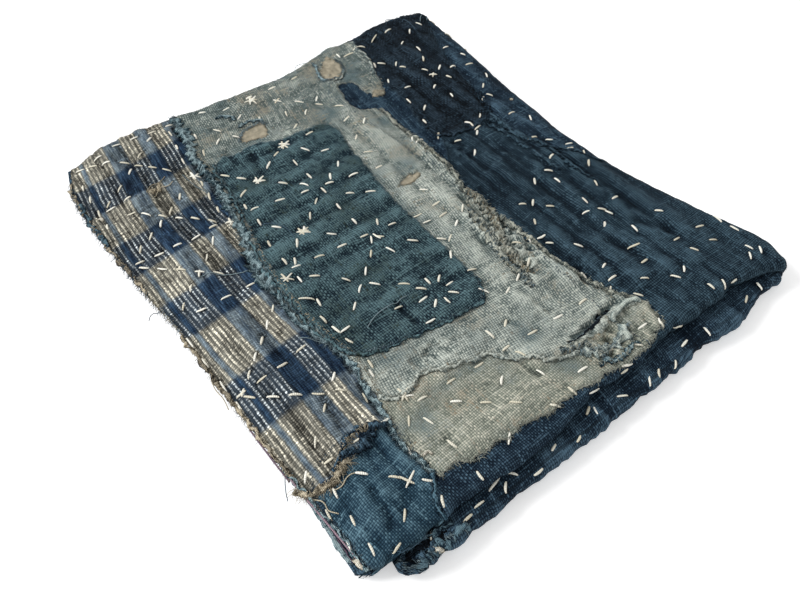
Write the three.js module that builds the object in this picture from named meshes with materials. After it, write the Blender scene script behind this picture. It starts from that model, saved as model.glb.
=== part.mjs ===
// Boro cloth: layers of indigo cotton stitched into one thick sheet, folded in quarters and lying flat.
// Millimetres, +Z up. X runs along the front folds, Y runs away from them, and Z = 0 is the surface it lies on.
// Plan places below are measured from the near left corner of the folded stack.
import * as THREE from 'three';

// Thickness of the sheet, the air inside each folded pair, and the air between the two pairs.
const SHEET_THICKNESS = 3.0;
const PAIR_GAP = 0.6;
const MIDDLE_GAP = 1.2;

// The size of the folded stack that the outline tables are written for.
const STACK_WIDTH = 240;
const STACK_DEPTH = 285;

// Where the upper pair sags from the lower pair down to the surface, along the open left side.
const SAG_LOW_X = 1.5;
const SAG_HIGH_X = 18.5;

// Lines of the grid that the sheet is bent on. All counts are even.
const TOP_COLUMNS = 50;
const SPINE_COLUMNS = 8;
const BOTTOM_COLUMNS = 8;
const TOP_ROWS = 52;
const FOLD_ROWS = 6;
const HIDDEN_ROWS = 8;

// Share of the thickness that is left at a raw edge, and the width of the strip that thins towards it.
const EDGE_THIN = 0.62;
const EDGE_SOFT = 5;

// At the front of the left edge the hidden layer of a pair shows past the outer one by this much. Further
// back, after this share of the depth, it is set in. At the back edge each layer is set in a little.
const HIDDEN_PEEK = 3.4;
const HIDDEN_PEEK_SHARE = 0.26;
const HIDDEN_SET_IN = 0.8;
const HIDDEN_BACK_STEP = 2.2;
const LOWER_BACK_STEP = 1.1;

// The swellings die out over this width beside the spine, and the ridges over this share of its turn.
const SWELL_FADE = 26;
const RIDGE_TURN = 0.7;

const QUARTER_TURN = Math.PI / 2;
const PLY_OFFSET = (SHEET_THICKNESS + PAIR_GAP) / 2;
const PAIR_HEIGHT = 2 * SHEET_THICKNESS + PAIR_GAP;
const LOW_MIDDLE = PAIR_HEIGHT / 2;
const HIGH_MIDDLE = LOW_MIDDLE + PAIR_HEIGHT + MIDDLE_GAP;
const FOLD_RADIUS = PLY_OFFSET + SHEET_THICKNESS / 2;

// Open left edge of the upper pair: distance from the front, and its place across.
const LEFT_EDGE = [
  { at: 0, x: 3.4 }, { at: 30, x: 3.0 }, { at: 48, x: 0.8 }, { at: 90, x: -1.6 },
  { at: 145, x: -3.0 }, { at: 168, x: -5.2 }, { at: 195, x: -7.3 }, { at: 240, x: -8.2 },
  { at: 265, x: -8.3 }, { at: 285, x: -3.0 },
];

// Open left edge of the lower pair, set back under the upper one.
const LOW_LEFT_EDGE = [
  { at: 0, x: 16.5 }, { at: 40, x: 19.5 }, { at: 110, x: 18.6 }, { at: 180, x: 20.4 },
  { at: 250, x: 19.2 }, { at: 285, x: 21.0 },
];

// Middle line of the closed spine on the right.
const SPINE = [
  { at: 0, x: 243.5 }, { at: 12, x: 246.2 }, { at: 28, x: 243.5 }, { at: 46, x: 238.8 },
  { at: 68, x: 234.4 }, { at: 90, x: 230.0 }, { at: 130, x: 227.4 }, { at: 160, x: 229.8 },
  { at: 205, x: 232.3 }, { at: 240, x: 236.2 }, { at: 275, x: 240.5 }, { at: 285, x: 239.5 },
];

// Front fold of the upper pair.
const UPPER_FOLD = [
  { at: 0, y: 3.0 }, { at: 6, y: 1.0 }, { at: 15, y: -1.6 }, { at: 30, y: -1.0 },
  { at: 40, y: 0.5 }, { at: 52, y: -1.0 }, { at: 98, y: -1.2 }, { at: 112, y: 2.2 },
  { at: 124, y: 3.2 }, { at: 145, y: 1.5 }, { at: 166, y: 5.4 }, { at: 190, y: 3.0 },
  { at: 212, y: 4.8 }, { at: 226, y: 3.6 }, { at: 240, y: -1.6 },
];

// Front fold of the lower pair, which reaches further forward.
const LOWER_FOLD = [
  { at: 0, y: -7.6 }, { at: 8, y: -9.6 }, { at: 20, y: -9.8 }, { at: 45, y: -9.7 },
  { at: 85, y: -8.7 }, { at: 102, y: -9.2 }, { at: 119, y: -8.5 }, { at: 148, y: -8.7 },
  { at: 179, y: -7.4 }, { at: 206, y: -8.4 }, { at: 222, y: -5.1 }, { at: 240, y: -4.0 },
];

// Raw back edge of the stack.
const BACK_EDGE = [
  { at: 0, y: 290.2 }, { at: 20, y: 286.4 }, { at: 38, y: 287.2 }, { at: 64, y: 284.8 },
  { at: 84, y: 281.6 }, { at: 106, y: 279.6 }, { at: 131, y: 278.8 }, { at: 150, y: 280.6 },
  { at: 172, y: 285.5 }, { at: 190, y: 284.5 }, { at: 212, y: 288.3 }, { at: 230, y: 286.4 },
  { at: 240, y: 282.0 },
];

// Soft swellings of the upper pair: centre, reach along each axis, and rise.
const SWELLS = [
  { x: 205, y: 4, reachX: 52, reachY: 46, rise: 2.6 },
  { x: 128, y: 6, reachX: 40, reachY: 30, rise: 1.2 },
  { x: 60, y: 4, reachX: 30, reachY: 26, rise: 0.6 },
  { x: 120, y: 190, reachX: 70, reachY: 60, rise: 0.9 },
  { x: 190, y: 230, reachX: 48, reachY: 60, rise: 0.8 },
];

// Quilted ridges of the top layer: both ends, width across and rise. The stitched rows lie between them.
const RIDGES = [
  // Along the striped panel at the left.
  { x0: 8, y0: 30, x1: 3, y1: 284, width: 11, rise: 0.7 },
  { x0: 21, y0: 44, x1: 18, y1: 282, width: 11, rise: 0.9 },
  { x0: 35, y0: 42, x1: 36, y1: 280, width: 12, rise: 0.9 },
  { x0: 47, y0: 60, x1: 53, y1: 278, width: 10, rise: 0.8 },
  // Across the blue centre patch.
  { x0: 54, y0: 82, x1: 122, y1: 78, width: 11, rise: 1.0 },
  { x0: 48, y0: 96, x1: 124, y1: 93, width: 12, rise: 1.1 },
  { x0: 48, y0: 110, x1: 125, y1: 108, width: 11, rise: 1.0 },
  { x0: 47, y0: 124, x1: 125, y1: 123, width: 12, rise: 1.2 },
  { x0: 47, y0: 138, x1: 124, y1: 138, width: 11, rise: 1.0 },
  { x0: 48, y0: 152, x1: 125, y1: 153, width: 12, rise: 1.2 },
  { x0: 52, y0: 167, x1: 126, y1: 167, width: 11, rise: 1.0 },
  { x0: 56, y0: 181, x1: 127, y1: 182, width: 12, rise: 1.1 },
  { x0: 58, y0: 196, x1: 128, y1: 197, width: 12, rise: 1.0 },
  { x0: 60, y0: 212, x1: 129, y1: 212, width: 12, rise: 1.1 },
  { x0: 62, y0: 227, x1: 126, y1: 224, width: 11, rise: 0.8 },
  // Along the gathered pale strip beside it.
  { x0: 134, y0: 52, x1: 133, y1: 232, width: 10, rise: 0.7 },
  { x0: 148, y0: 60, x1: 147, y1: 250, width: 11, rise: 1.3 },
  { x0: 159, y0: 50, x1: 160, y1: 180, width: 10, rise: 1.4 },
  // Along the indigo panel towards the spine.
  { x0: 172, y0: 40, x1: 171, y1: 168, width: 11, rise: 1.3 },
  { x0: 185, y0: 30, x1: 183, y1: 172, width: 12, rise: 1.5 },
  { x0: 199, y0: 26, x1: 196, y1: 170, width: 12, rise: 1.4 },
  { x0: 212, y0: 22, x1: 208, y1: 166, width: 12, rise: 1.5 },
  { x0: 226, y0: 26, x1: 217, y1: 178, width: 11, rise: 1.1 },
  // Along the near-black patch at the back right.
  { x0: 181, y0: 176, x1: 186, y1: 278, width: 12, rise: 1.0 },
  { x0: 195, y0: 178, x1: 199, y1: 280, width: 12, rise: 1.1 },
  { x0: 208, y0: 180, x1: 213, y1: 280, width: 12, rise: 1.0 },
  { x0: 224, y0: 186, x1: 230, y1: 276, width: 11, rise: 0.7 },
  // Across the pale cloth at the front and at the back.
  { x0: 62, y0: 20, x1: 110, y1: 16, width: 12, rise: 0.8 },
  { x0: 56, y0: 51, x1: 100, y1: 50, width: 12, rise: 1.0 },
  { x0: 108, y0: 36, x1: 140, y1: 20, width: 11, rise: 1.1 },
  { x0: 66, y0: 248, x1: 160, y1: 250, width: 13, rise: 0.7 },
  { x0: 66, y0: 266, x1: 160, y1: 266, width: 13, rise: 0.6 },
  // Across the corner cloth at the front left.
  { x0: 6, y0: 14, x1: 40, y1: 24, width: 12, rise: 0.7 },
];

const clamp01 = (value) => Math.min(1, Math.max(0, value));
const smooth = (value) => clamp01(value) ** 2 * (3 - 2 * clamp01(value));
const mix = (from, to, share) => from + (to - from) * share;

// Value of an outline table at a place along it, on a smooth curve through its rows.
function alongTable(table, key, at) {
  const last = table.length - 1;
  let i = 0;
  while (i < last - 1 && at > table[i + 1].at) i += 1;
  const slopeAt = (k) => {
    const before = table[Math.max(k - 1, 0)];
    const after = table[Math.min(k + 1, last)];
    return (after[key] - before[key]) / (after.at - before.at);
  };
  const span = table[i + 1].at - table[i].at;
  const t = clamp01((at - table[i].at) / span);
  const rise = table[i + 1][key] - table[i][key];
  const bend = t * (1 - t) * ((1 - t) * (slopeAt(i) * span - rise) - t * (slopeAt(i + 1) * span - rise));
  return mix(table[i][key], table[i + 1][key], t) + bend;
}

// Height that the swellings add to the upper pair. It dies out towards the spine, where the pairs join.
function swellAt(x, y, spineX) {
  const dome = ({ x: cx, y: cy, reachX, reachY, rise }) => {
    const far = Math.hypot((x - cx) / reachX, (y - cy) / reachY);
    return rise * (1 - smooth(far));
  };
  const towardsSpine = smooth((spineX - x) / SWELL_FADE);
  return towardsSpine * SWELLS.reduce((sum, swell) => sum + dome(swell), 0);
}

// Height of the quilted ridges at a place on the top layer.
function ridgesAt(x, y) {
  let height = 0;
  for (const { x0, y0, x1, y1, width, rise } of RIDGES) {
    const dx = x1 - x0;
    const dy = y1 - y0;
    const length = Math.hypot(dx, dy);
    const along = ((x - x0) * dx + (y - y0) * dy) / length;
    const across = ((x - x0) * dy - (y - y0) * dx) / length;
    const profile = Math.cos(clamp01(Math.abs(across) / width) * QUARTER_TURN) ** 2;
    const ends = smooth((along + width / 2) / width) * smooth((length - along + width / 2) / width);
    height = Math.max(height, rise * profile * ends);
  }
  return height;
}

// Grid lines across the sheet: left to right over the upper pair, round the spine, and back below it.
function columnLines() {
  const lines = [];
  for (let i = 0; i < TOP_COLUMNS; i += 1) {
    lines.push({ turn: -1, share: i / TOP_COLUMNS });
  }
  for (let i = 0; i <= SPINE_COLUMNS; i += 1) {
    lines.push({ turn: (2 * i) / SPINE_COLUMNS - 1, share: 1 });
  }
  for (let i = BOTTOM_COLUMNS - 1; i >= 0; i -= 1) {
    lines.push({ turn: 1, share: i / BOTTOM_COLUMNS });
  }
  return lines;
}

// Grid lines along the sheet: back to front over the outer layer, round the front fold, and back inside.
function rowLines() {
  const lines = [];
  for (let j = TOP_ROWS; j > 0; j -= 1) {
    lines.push({ turn: 1, share: j / TOP_ROWS });
  }
  for (let j = 0; j <= FOLD_ROWS; j += 1) {
    lines.push({ turn: 1 - (2 * j) / FOLD_ROWS, share: 0 });
  }
  for (let j = 1; j <= HIDDEN_ROWS; j += 1) {
    lines.push({ turn: -1, share: j / HIDDEN_ROWS });
  }
  return lines;
}

// Point of the folded sheet on a column and a row, on its outer face (side 1) or its inner face (side -1).
// A column turns from the upper pair (-1) to the lower (1), a row from the outer layer (1) to the hidden one (-1).
function sheetPoint(column, row, side) {
  const lowerShare = (column.turn + 1) / 2;
  const hidden = row.turn < 0 ? 1 : 0;

  const alongY = row.share * STACK_DEPTH;
  const spineX = alongTable(SPINE, 'x', alongY);
  const setIn = mix(-HIDDEN_PEEK, HIDDEN_SET_IN, smooth(row.share / HIDDEN_PEEK_SHARE));
  const leftX = alongTable(column.turn < 1 ? LEFT_EDGE : LOW_LEFT_EDGE, 'x', alongY) + hidden * setIn;
  const flatX = mix(leftX, spineX, column.share);

  const alongX = column.share * STACK_WIDTH;
  const foldY = mix(alongTable(UPPER_FOLD, 'y', alongX), alongTable(LOWER_FOLD, 'y', alongX), lowerShare);
  const backStep = HIDDEN_BACK_STEP * hidden + LOWER_BACK_STEP * lowerShare;
  const backY = alongTable(BACK_EDGE, 'y', alongX) - backStep;
  const centreY = foldY + FOLD_RADIUS;
  const flatY = mix(centreY, backY, row.share);

  const fromLeft = flatX - leftX;
  const fromBack = backY - flatY;
  const thin = mix(EDGE_THIN, 1, smooth(Math.min(fromLeft, fromBack) / EDGE_SOFT));
  let outward = (side * SHEET_THICKNESS * thin) / 2;

  const foldAngle = row.turn * QUARTER_TURN;
  const spineAngle = column.turn * QUARTER_TURN;
  if (side > 0 && row.turn > 0) {
    const facesUp = smooth(1 - lowerShare / RIDGE_TURN);
    const overFold = smooth(row.turn);
    outward += ridgesAt(flatX, flatY) * facesUp * overFold;
  }

  const y = flatY - (row.share > 0 ? 0 : (PLY_OFFSET + outward) * Math.cos(foldAngle));
  const fromMiddle = (PLY_OFFSET + outward) * Math.sin(foldAngle);

  const sag = 1 - smooth((flatX - SAG_LOW_X) / (SAG_HIGH_X - SAG_LOW_X));
  const highMiddle = mix(HIGH_MIDDLE, LOW_MIDDLE, sag) + swellAt(flatX, flatY, spineX);
  if (column.turn === -1) return new THREE.Vector3(flatX, y, highMiddle + fromMiddle);
  if (column.turn === 1) return new THREE.Vector3(flatX, y, LOW_MIDDLE - fromMiddle);

  const radius = (HIGH_MIDDLE - LOW_MIDDLE) / 2 + fromMiddle;
  const centreZ = (HIGH_MIDDLE + LOW_MIDDLE) / 2;
  return new THREE.Vector3(
    flatX + radius * Math.cos(spineAngle),
    y,
    centreZ - radius * Math.sin(spineAngle),
  );
}

// Closed solid of the sheet: a fine outer face, an inner face on every other line, and rims between them.
function foldedSheetGeometry() {
  const columns = columnLines();
  const rows = rowLines();
  const positions = [];
  const indices = [];

  const addFace = (side, step) => {
    const index = new Map();
    for (let j = 0; j < rows.length; j += step) {
      for (let i = 0; i < columns.length; i += step) {
        index.set(`${i},${j}`, positions.length / 3);
        positions.push(...sheetPoint(columns[i], rows[j], side).toArray());
      }
    }
    const vertex = (i, j) => index.get(`${i},${j}`);
    for (let j = 0; j + step < rows.length; j += step) {
      for (let i = 0; i + step < columns.length; i += step) {
        const corners = [vertex(i, j), vertex(i, j + step), vertex(i + step, j + step), vertex(i + step, j)];
        const [a, b, c, d] = side > 0 ? corners : corners.reverse();
        indices.push(a, b, c, a, c, d);
      }
    }
    return vertex;
  };

  const outer = addFace(1, 1);
  const inner = addFace(-1, 2);

  // Each rim quad has two fine steps on its outer side and one coarse step on its inner side.
  const addRim = (place, count) => {
    for (let k = 0; k < count; k += 2) {
      const fine = [0, 1, 2].map((step) => outer(...place(k + step)));
      const coarse = [0, 2].map((step) => inner(...place(k + step)));
      indices.push(fine[0], fine[1], coarse[0]);
      indices.push(fine[1], fine[2], coarse[1]);
      indices.push(fine[1], coarse[1], coarse[0]);
    }
  };
  const lastColumn = columns.length - 1;
  const lastRow = rows.length - 1;
  addRim((k) => [k, 0], lastColumn);
  addRim((k) => [lastColumn, k], lastRow);
  addRim((k) => [lastColumn - k, lastRow], lastColumn);
  addRim((k) => [0, lastRow - k], lastRow);

  const geometry = new THREE.BufferGeometry();
  geometry.setAttribute('position', new THREE.Float32BufferAttribute(positions, 3));
  geometry.setIndex(indices);
  return geometry;
}

// Moves the plan so that the origin is under the middle of the stack, on the surface.
function centreOverOrigin(geometry) {
  geometry.computeBoundingBox();
  const { min, max } = geometry.boundingBox;
  geometry.translate(-(min.x + max.x) / 2, -(min.y + max.y) / 2, -min.z);
  geometry.computeVertexNormals();
  return geometry;
}

function foldedCloth() {
  const indigoCotton = new THREE.MeshStandardMaterial({ color: 0x2c4560, roughness: 0.95, metalness: 0 });
  const mesh = new THREE.Mesh(centreOverOrigin(foldedSheetGeometry()), indigoCotton);
  mesh.name = 'folded_cloth';
  return mesh;
}

const part = new THREE.Group();
part.add(foldedCloth());

export default part;
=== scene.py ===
import math

import bpy
import numpy as np
from mathutils import Matrix, Vector
from mathutils.geometry import delaunay_2d_cdt


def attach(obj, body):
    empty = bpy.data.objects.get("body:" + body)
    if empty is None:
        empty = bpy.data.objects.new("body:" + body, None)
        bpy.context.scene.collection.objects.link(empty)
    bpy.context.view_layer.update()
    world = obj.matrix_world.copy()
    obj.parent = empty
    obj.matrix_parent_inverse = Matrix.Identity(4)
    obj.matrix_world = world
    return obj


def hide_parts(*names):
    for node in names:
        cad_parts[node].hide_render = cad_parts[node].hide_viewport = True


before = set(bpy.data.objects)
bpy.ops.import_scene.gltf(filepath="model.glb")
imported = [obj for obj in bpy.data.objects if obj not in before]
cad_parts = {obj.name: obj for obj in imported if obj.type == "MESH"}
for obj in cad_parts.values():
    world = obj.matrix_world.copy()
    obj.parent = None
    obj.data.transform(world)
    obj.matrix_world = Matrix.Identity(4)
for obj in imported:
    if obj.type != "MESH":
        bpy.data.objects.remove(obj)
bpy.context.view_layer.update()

# Boro cloth, folded in quarters. Plan places are in millimetres from the near left corner of the stack: x
# along the front folds, y away from them. Pieces are turned to metres in the frame when they are made.
MM = 0.001
NODE = "folded_cloth"
BODY = "root"

# The camera, in plan millimetres and degrees, and its lens and sensor in millimetres.
EYE = np.array((-34.2, -83.2, 287.6))
HEADING = 34.55
PITCH = -51.94
ROLL = -2.67
LENS = 33.33
SENSOR = 36.0

# Plan places were read on a level plane at this height; the line of sight carries them onto the cloth.
READING_HEIGHT = 12.0
# Rounds in which that place is found, the share of the gap that each closes, and the most it moves in mm.
SIGHT_ROUNDS = 14
SIGHT_STEP = 0.7
SIGHT_LIMIT = 4
LOWER_SIGHT_ROUNDS = 8
# Rounds in which a cloth place's line of the sheet is found, and how far round the spine it may lie.
SHEET_ROUNDS = 6
SPINE_END = 0.999

# The folded sheet, with the sizes of the part's source.
SHEET_THICKNESS = 3.0
PAIR_GAP = 0.6
MIDDLE_GAP = 1.2
STACK_WIDTH = 240.0
STACK_DEPTH = 285.0
SAG_LOW_X = 1.5
SAG_HIGH_X = 18.5
EDGE_THIN = 0.62
EDGE_SOFT = 5.0
HIDDEN_PEEK = 3.4
HIDDEN_PEEK_SHARE = 0.26
HIDDEN_SET_IN = 0.8
HIDDEN_BACK_STEP = 2.2
LOWER_BACK_STEP = 1.1
SWELL_FADE = 26.0
RIDGE_TURN = 0.7
QUARTER = math.pi / 2
PLY_OFFSET = (SHEET_THICKNESS + PAIR_GAP) / 2
PAIR_HEIGHT = 2 * SHEET_THICKNESS + PAIR_GAP
LOW_MIDDLE = PAIR_HEIGHT / 2
HIGH_MIDDLE = LOW_MIDDLE + PAIR_HEIGHT + MIDDLE_GAP
FOLD_RADIUS = PLY_OFFSET + SHEET_THICKNESS / 2
SPINE_RADIUS = (HIGH_MIDDLE - LOW_MIDDLE) / 2 + FOLD_RADIUS

# Outlines of the stack: place along each edge, and the edge's place across it.
LEFT_EDGE = ((0, 3.4), (30, 3.0), (48, 0.8), (90, -1.6), (145, -3.0), (168, -5.2), (195, -7.3), (240, -8.2),
             (265, -8.3), (285, -3.0))
LOW_LEFT_EDGE = ((0, 16.5), (40, 19.5), (110, 18.6), (180, 20.4), (250, 19.2), (285, 21.0))
SPINE = ((0, 243.5), (12, 246.2), (28, 243.5), (46, 238.8), (68, 234.4), (90, 230.0), (130, 227.4),
         (160, 229.8), (205, 232.3), (240, 236.2), (275, 240.5), (285, 239.5))
UPPER_FOLD = ((0, 3.0), (6, 1.0), (15, -1.6), (30, -1.0), (40, 0.5), (52, -1.0), (98, -1.2), (112, 2.2),
              (124, 3.2), (145, 1.5), (166, 5.4), (190, 3.0), (212, 4.8), (226, 3.6), (240, -1.6))
LOWER_FOLD = ((0, -7.6), (8, -9.6), (20, -9.8), (45, -9.7), (85, -8.7), (102, -9.2), (119, -8.5),
              (148, -8.7), (179, -7.4), (206, -8.4), (222, -5.1), (240, -4.0))
BACK_EDGE = ((0, 290.2), (20, 286.4), (38, 287.2), (64, 284.8), (84, 281.6), (106, 279.6), (131, 278.8),
             (150, 280.6), (172, 285.5), (190, 284.5), (212, 288.3), (230, 286.4), (240, 282.0))

# Soft swellings of the upper pair: centre x, centre y, reach along x, reach along y, rise.
SWELLS = ((205, 4, 52, 46, 2.6), (128, 6, 40, 30, 1.2), (60, 4, 30, 26, 0.6), (120, 190, 70, 60, 0.9),
          (190, 230, 48, 60, 0.8))

# Quilted ridges of the top layer: both ends, width across and rise.
RIDGES = (
    (8, 30, 3, 284, 11, 0.7), (21, 44, 18, 282, 11, 0.9), (35, 42, 36, 280, 12, 0.9),
    (47, 60, 53, 278, 10, 0.8), (54, 82, 122, 78, 11, 1.0), (48, 96, 124, 93, 12, 1.1),
    (48, 110, 125, 108, 11, 1.0), (47, 124, 125, 123, 12, 1.2), (47, 138, 124, 138, 11, 1.0),
    (48, 152, 125, 153, 12, 1.2), (52, 167, 126, 167, 11, 1.0), (56, 181, 127, 182, 12, 1.1),
    (58, 196, 128, 197, 12, 1.0), (60, 212, 129, 212, 12, 1.1), (62, 227, 126, 224, 11, 0.8),
    (134, 52, 133, 232, 10, 0.7), (148, 60, 147, 250, 11, 1.3), (159, 50, 160, 180, 10, 1.4),
    (172, 40, 171, 168, 11, 1.3), (185, 30, 183, 172, 12, 1.5), (199, 26, 196, 170, 12, 1.4),
    (212, 22, 208, 166, 12, 1.5), (226, 26, 217, 178, 11, 1.1), (181, 176, 186, 278, 12, 1.0),
    (195, 178, 199, 280, 12, 1.1), (208, 180, 213, 280, 12, 1.0), (224, 186, 230, 276, 11, 0.7),
    (62, 20, 110, 16, 12, 0.8), (56, 51, 100, 50, 12, 1.0), (108, 36, 140, 20, 11, 1.1),
    (66, 248, 160, 250, 13, 0.7), (66, 266, 160, 266, 13, 0.6), (6, 14, 40, 24, 12, 0.7),
)

# Sharp creases: both ends, width across and depth.
CREASES = (
    (84, 93, 84.5, 76, 3.0, 1.3), (79, 207, 83, 226, 3.4, 1.1), (106.5, 41, 109.5, 22, 2.6, 1.0),
    (24, 34, 21, 18, 4.0, 0.8), (183, 98, 184, 64, 4.0, 1.1), (196, 150, 195, 118, 4.0, 1.0),
    (170, 146, 171, 112, 3.6, 0.9), (208, 136, 207, 104, 4.0, 1.0), (209, 62, 219, 43, 5.0, 1.3),
    (190, 60, 196, 42, 4.6, 1.0), (135, 64, 138, 44, 3.4, 0.9), (141, 100, 149, 62, 3.6, 1.2),
    (152, 128, 151, 84, 3.2, 1.4), (157, 116, 156, 74, 3.0, 1.2), (73, 238, 72, 222, 3.4, 0.9),
    (29, 72, 31, 56, 3.0, 0.7), (16, 150, 17, 118, 3.4, 0.6), (41, 160, 44, 116, 3.2, 0.8),
    (226, 230, 222, 196, 4.0, 0.8), (213, 186, 211, 152, 3.2, 0.9), (200, 282, 200, 250, 4.0, 0.7),
    (134, 27.6, 166, 30.8, 2.4, 1.9), (130, 226, 134, 205, 2.8, 0.8), (118, 54, 121, 47, 3.0, 0.9),
    (59, 276, 57.5, 260, 3.4, 1.7), (54, 238, 52.5, 222, 3.8, 1.7), (53, 216, 51.5, 204, 3.0, 1.2),
    (50, 180, 46.5, 165, 3.0, 1.2), (44.5, 164, 41, 150, 3.0, 1.4), (41, 148, 40.6, 122, 3.0, 1.2),
    (41, 118, 41.4, 104, 3.0, 1.0), (43.6, 103, 47.6, 91, 3.0, 1.3), (48, 91, 46.6, 72, 3.4, 1.7),
    (46, 68, 43.8, 48, 3.2, 1.4), (42, 42, 42.6, 30, 3.0, 1.2), (43.6, 29, 45.8, 16, 3.0, 1.2),
    (159, 114, 156, 96, 3.0, 1.6), (156, 92, 160, 86, 2.4, 1.3), (206, 168, 209, 128, 3.0, 1.1),
    (219, 142, 214, 96, 3.2, 1.1), (39, 12, 38, 0, 3.0, 1.3), (23, 26, 21, 10, 3.2, 0.7),
    (147.5, 19, 139, 6, 2.6, 1.5), (175, 19, 173, 9, 2.4, 1.0), (168.6, 18, 165, 7, 2.6, 1.0),
)

# Crumpled places: centre x, centre y, reach along x, reach along y, height of the crumples.
CRUMPLES = (
    (149, 92, 12, 40, 1.9), (152, 26, 26, 8, 1.3), (78, 60, 26, 8, 0.9), (140, 157, 12, 6, 0.9),
    (158, 132, 8, 18, 1.0), (166, 52, 8, 22, 0.8), (30, 236, 9, 7, 1.0), (50, 186, 8, 18, 0.9),
    (46, 152, 6, 14, 0.9), (176, 152, 10, 18, 0.7), (206, 160, 12, 18, 0.6), (92, 255, 16, 10, 0.6),
    (158, 262, 8, 18, 0.7), (10, 40, 14, 5, 0.9), (52, 96, 6, 14, 0.7), (235, 8, 18, 10, 0.5),
    (151, 15, 19, 9, 1.5),
)


def smooth(value):
    value = np.clip(value, 0.0, 1.0)
    return value * value * (3 - 2 * value)


def mix(a, b, share):
    return a + (b - a) * share


def along(table, at):
    """Value of an outline table at a place along it, on a smooth curve through its rows."""
    xs, ys = np.array(table, float).T
    last = len(xs) - 1
    before = np.maximum(np.arange(last + 1) - 1, 0)
    after = np.minimum(np.arange(last + 1) + 1, last)
    slope = (ys[after] - ys[before]) / (xs[after] - xs[before])
    i = np.clip(np.searchsorted(xs, at) - 1, 0, last - 1)
    span = xs[i + 1] - xs[i]
    rise = ys[i + 1] - ys[i]
    t = np.clip((at - xs[i]) / span, 0, 1)
    bend = t * (1 - t) * ((1 - t) * (slope[i] * span - rise) - t * (slope[i + 1] * span - rise))
    return ys[i] + rise * t + bend


# Noise on a seeded lattice

LATTICE = 256


def noise(x, y, seed):
    """Smooth noise between -1 and 1, with one hill or hollow for each unit of x and y."""
    table = np.random.default_rng(seed).uniform(-1, 1, (LATTICE, LATTICE))
    i, j = np.floor(x).astype(int), np.floor(y).astype(int)
    u, v = smooth(x - i), smooth(y - j)
    i0, i1, j0, j1 = i % LATTICE, (i + 1) % LATTICE, j % LATTICE, (j + 1) % LATTICE
    return mix(mix(table[i0, j0], table[i1, j0], u), mix(table[i0, j1], table[i1, j1], u), v)


def fractal(x, y, seed, octaves=3):
    total, weight, height = 0.0, 1.0, 0.0
    for k in range(octaves):
        total = total + weight * noise(x * 2**k, y * 2**k, seed + k)
        height += weight
        weight *= 0.5
    return total / height


# Shape of the folded sheet

def line_profile(x, y, x0, y0, x1, y1, width):
    """How strongly a ridge or crease between two points shows at x, y, from 0 to 1."""
    dx, dy = x1 - x0, y1 - y0
    length = math.hypot(dx, dy)
    forward = ((x - x0) * dx + (y - y0) * dy) / length
    across = ((x - x0) * dy - (y - y0) * dx) / length
    profile = np.cos(np.clip(np.abs(across) / width, 0, 1) * QUARTER) ** 2
    return profile * smooth((forward + width / 2) / width) * smooth((length - forward + width / 2) / width)


def ridges_at(x, y):
    height = np.zeros_like(x)
    for x0, y0, x1, y1, width, rise in RIDGES:
        height = np.maximum(height, rise * line_profile(x, y, x0, y0, x1, y1, width))
    return height


def swell_at(x, y, spine_x):
    total = np.zeros_like(x)
    for cx, cy, reach_x, reach_y, rise in SWELLS:
        total += rise * (1 - smooth(np.hypot((x - cx) / reach_x, (y - cy) / reach_y)))
    return total * smooth((spine_x - x) / SWELL_FADE)


def fold(col_turn, col_share, row_turn, row_share, side, lift=0.0, ridged=True):
    """Points of the folded sheet, as in the part's source, with the outer face raised by lift."""
    lower = (col_turn + 1) / 2
    hidden = (row_turn < 0) * 1.0
    along_y = np.clip(row_share, 0, 1) * STACK_DEPTH
    along_x = np.clip(col_share, 0, 1) * STACK_WIDTH
    spine_x = along(SPINE, along_y)
    set_in = mix(-HIDDEN_PEEK, HIDDEN_SET_IN, smooth(row_share / HIDDEN_PEEK_SHARE))
    left_x = np.where(col_turn < 1, along(LEFT_EDGE, along_y), along(LOW_LEFT_EDGE, along_y))
    left_x = left_x + hidden * set_in
    flat_x = mix(left_x, spine_x, col_share)
    centre_y = mix(along(UPPER_FOLD, along_x), along(LOWER_FOLD, along_x), lower) + FOLD_RADIUS
    back_y = along(BACK_EDGE, along_x) - HIDDEN_BACK_STEP * hidden - LOWER_BACK_STEP * lower
    flat_y = mix(centre_y, back_y, row_share)
    thin = mix(EDGE_THIN, 1, smooth(np.minimum(flat_x - left_x, back_y - flat_y) / EDGE_SOFT))
    outward = side * SHEET_THICKNESS * thin / 2
    if ridged:
        faces_up = smooth(1 - lower / RIDGE_TURN) * smooth(row_turn)
        outward = outward + (side > 0) * ridges_at(flat_x, flat_y) * faces_up
    outward = outward + lift
    fold_angle, spine_angle = row_turn * QUARTER, col_turn * QUARTER
    y = flat_y - np.where(row_share > 0, 0, (PLY_OFFSET + outward) * np.cos(fold_angle))
    off = (PLY_OFFSET + outward) * np.sin(fold_angle)
    sag = 1 - smooth((flat_x - SAG_LOW_X) / (SAG_HIGH_X - SAG_LOW_X))
    high = mix(HIGH_MIDDLE, LOW_MIDDLE, sag) + swell_at(flat_x, flat_y, spine_x)
    radius = (HIGH_MIDDLE - LOW_MIDDLE) / 2 + off
    bent_x = flat_x + radius * np.cos(spine_angle)
    bent_z = (HIGH_MIDDLE + LOW_MIDDLE) / 2 - radius * np.sin(spine_angle)
    x = np.where(np.abs(col_turn) < 1, bent_x, flat_x)
    z = np.where(col_turn <= -1, high + off, np.where(col_turn >= 1, LOW_MIDDLE - off, bent_z))
    return np.stack(np.broadcast_arrays(x, y, z), -1)


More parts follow.
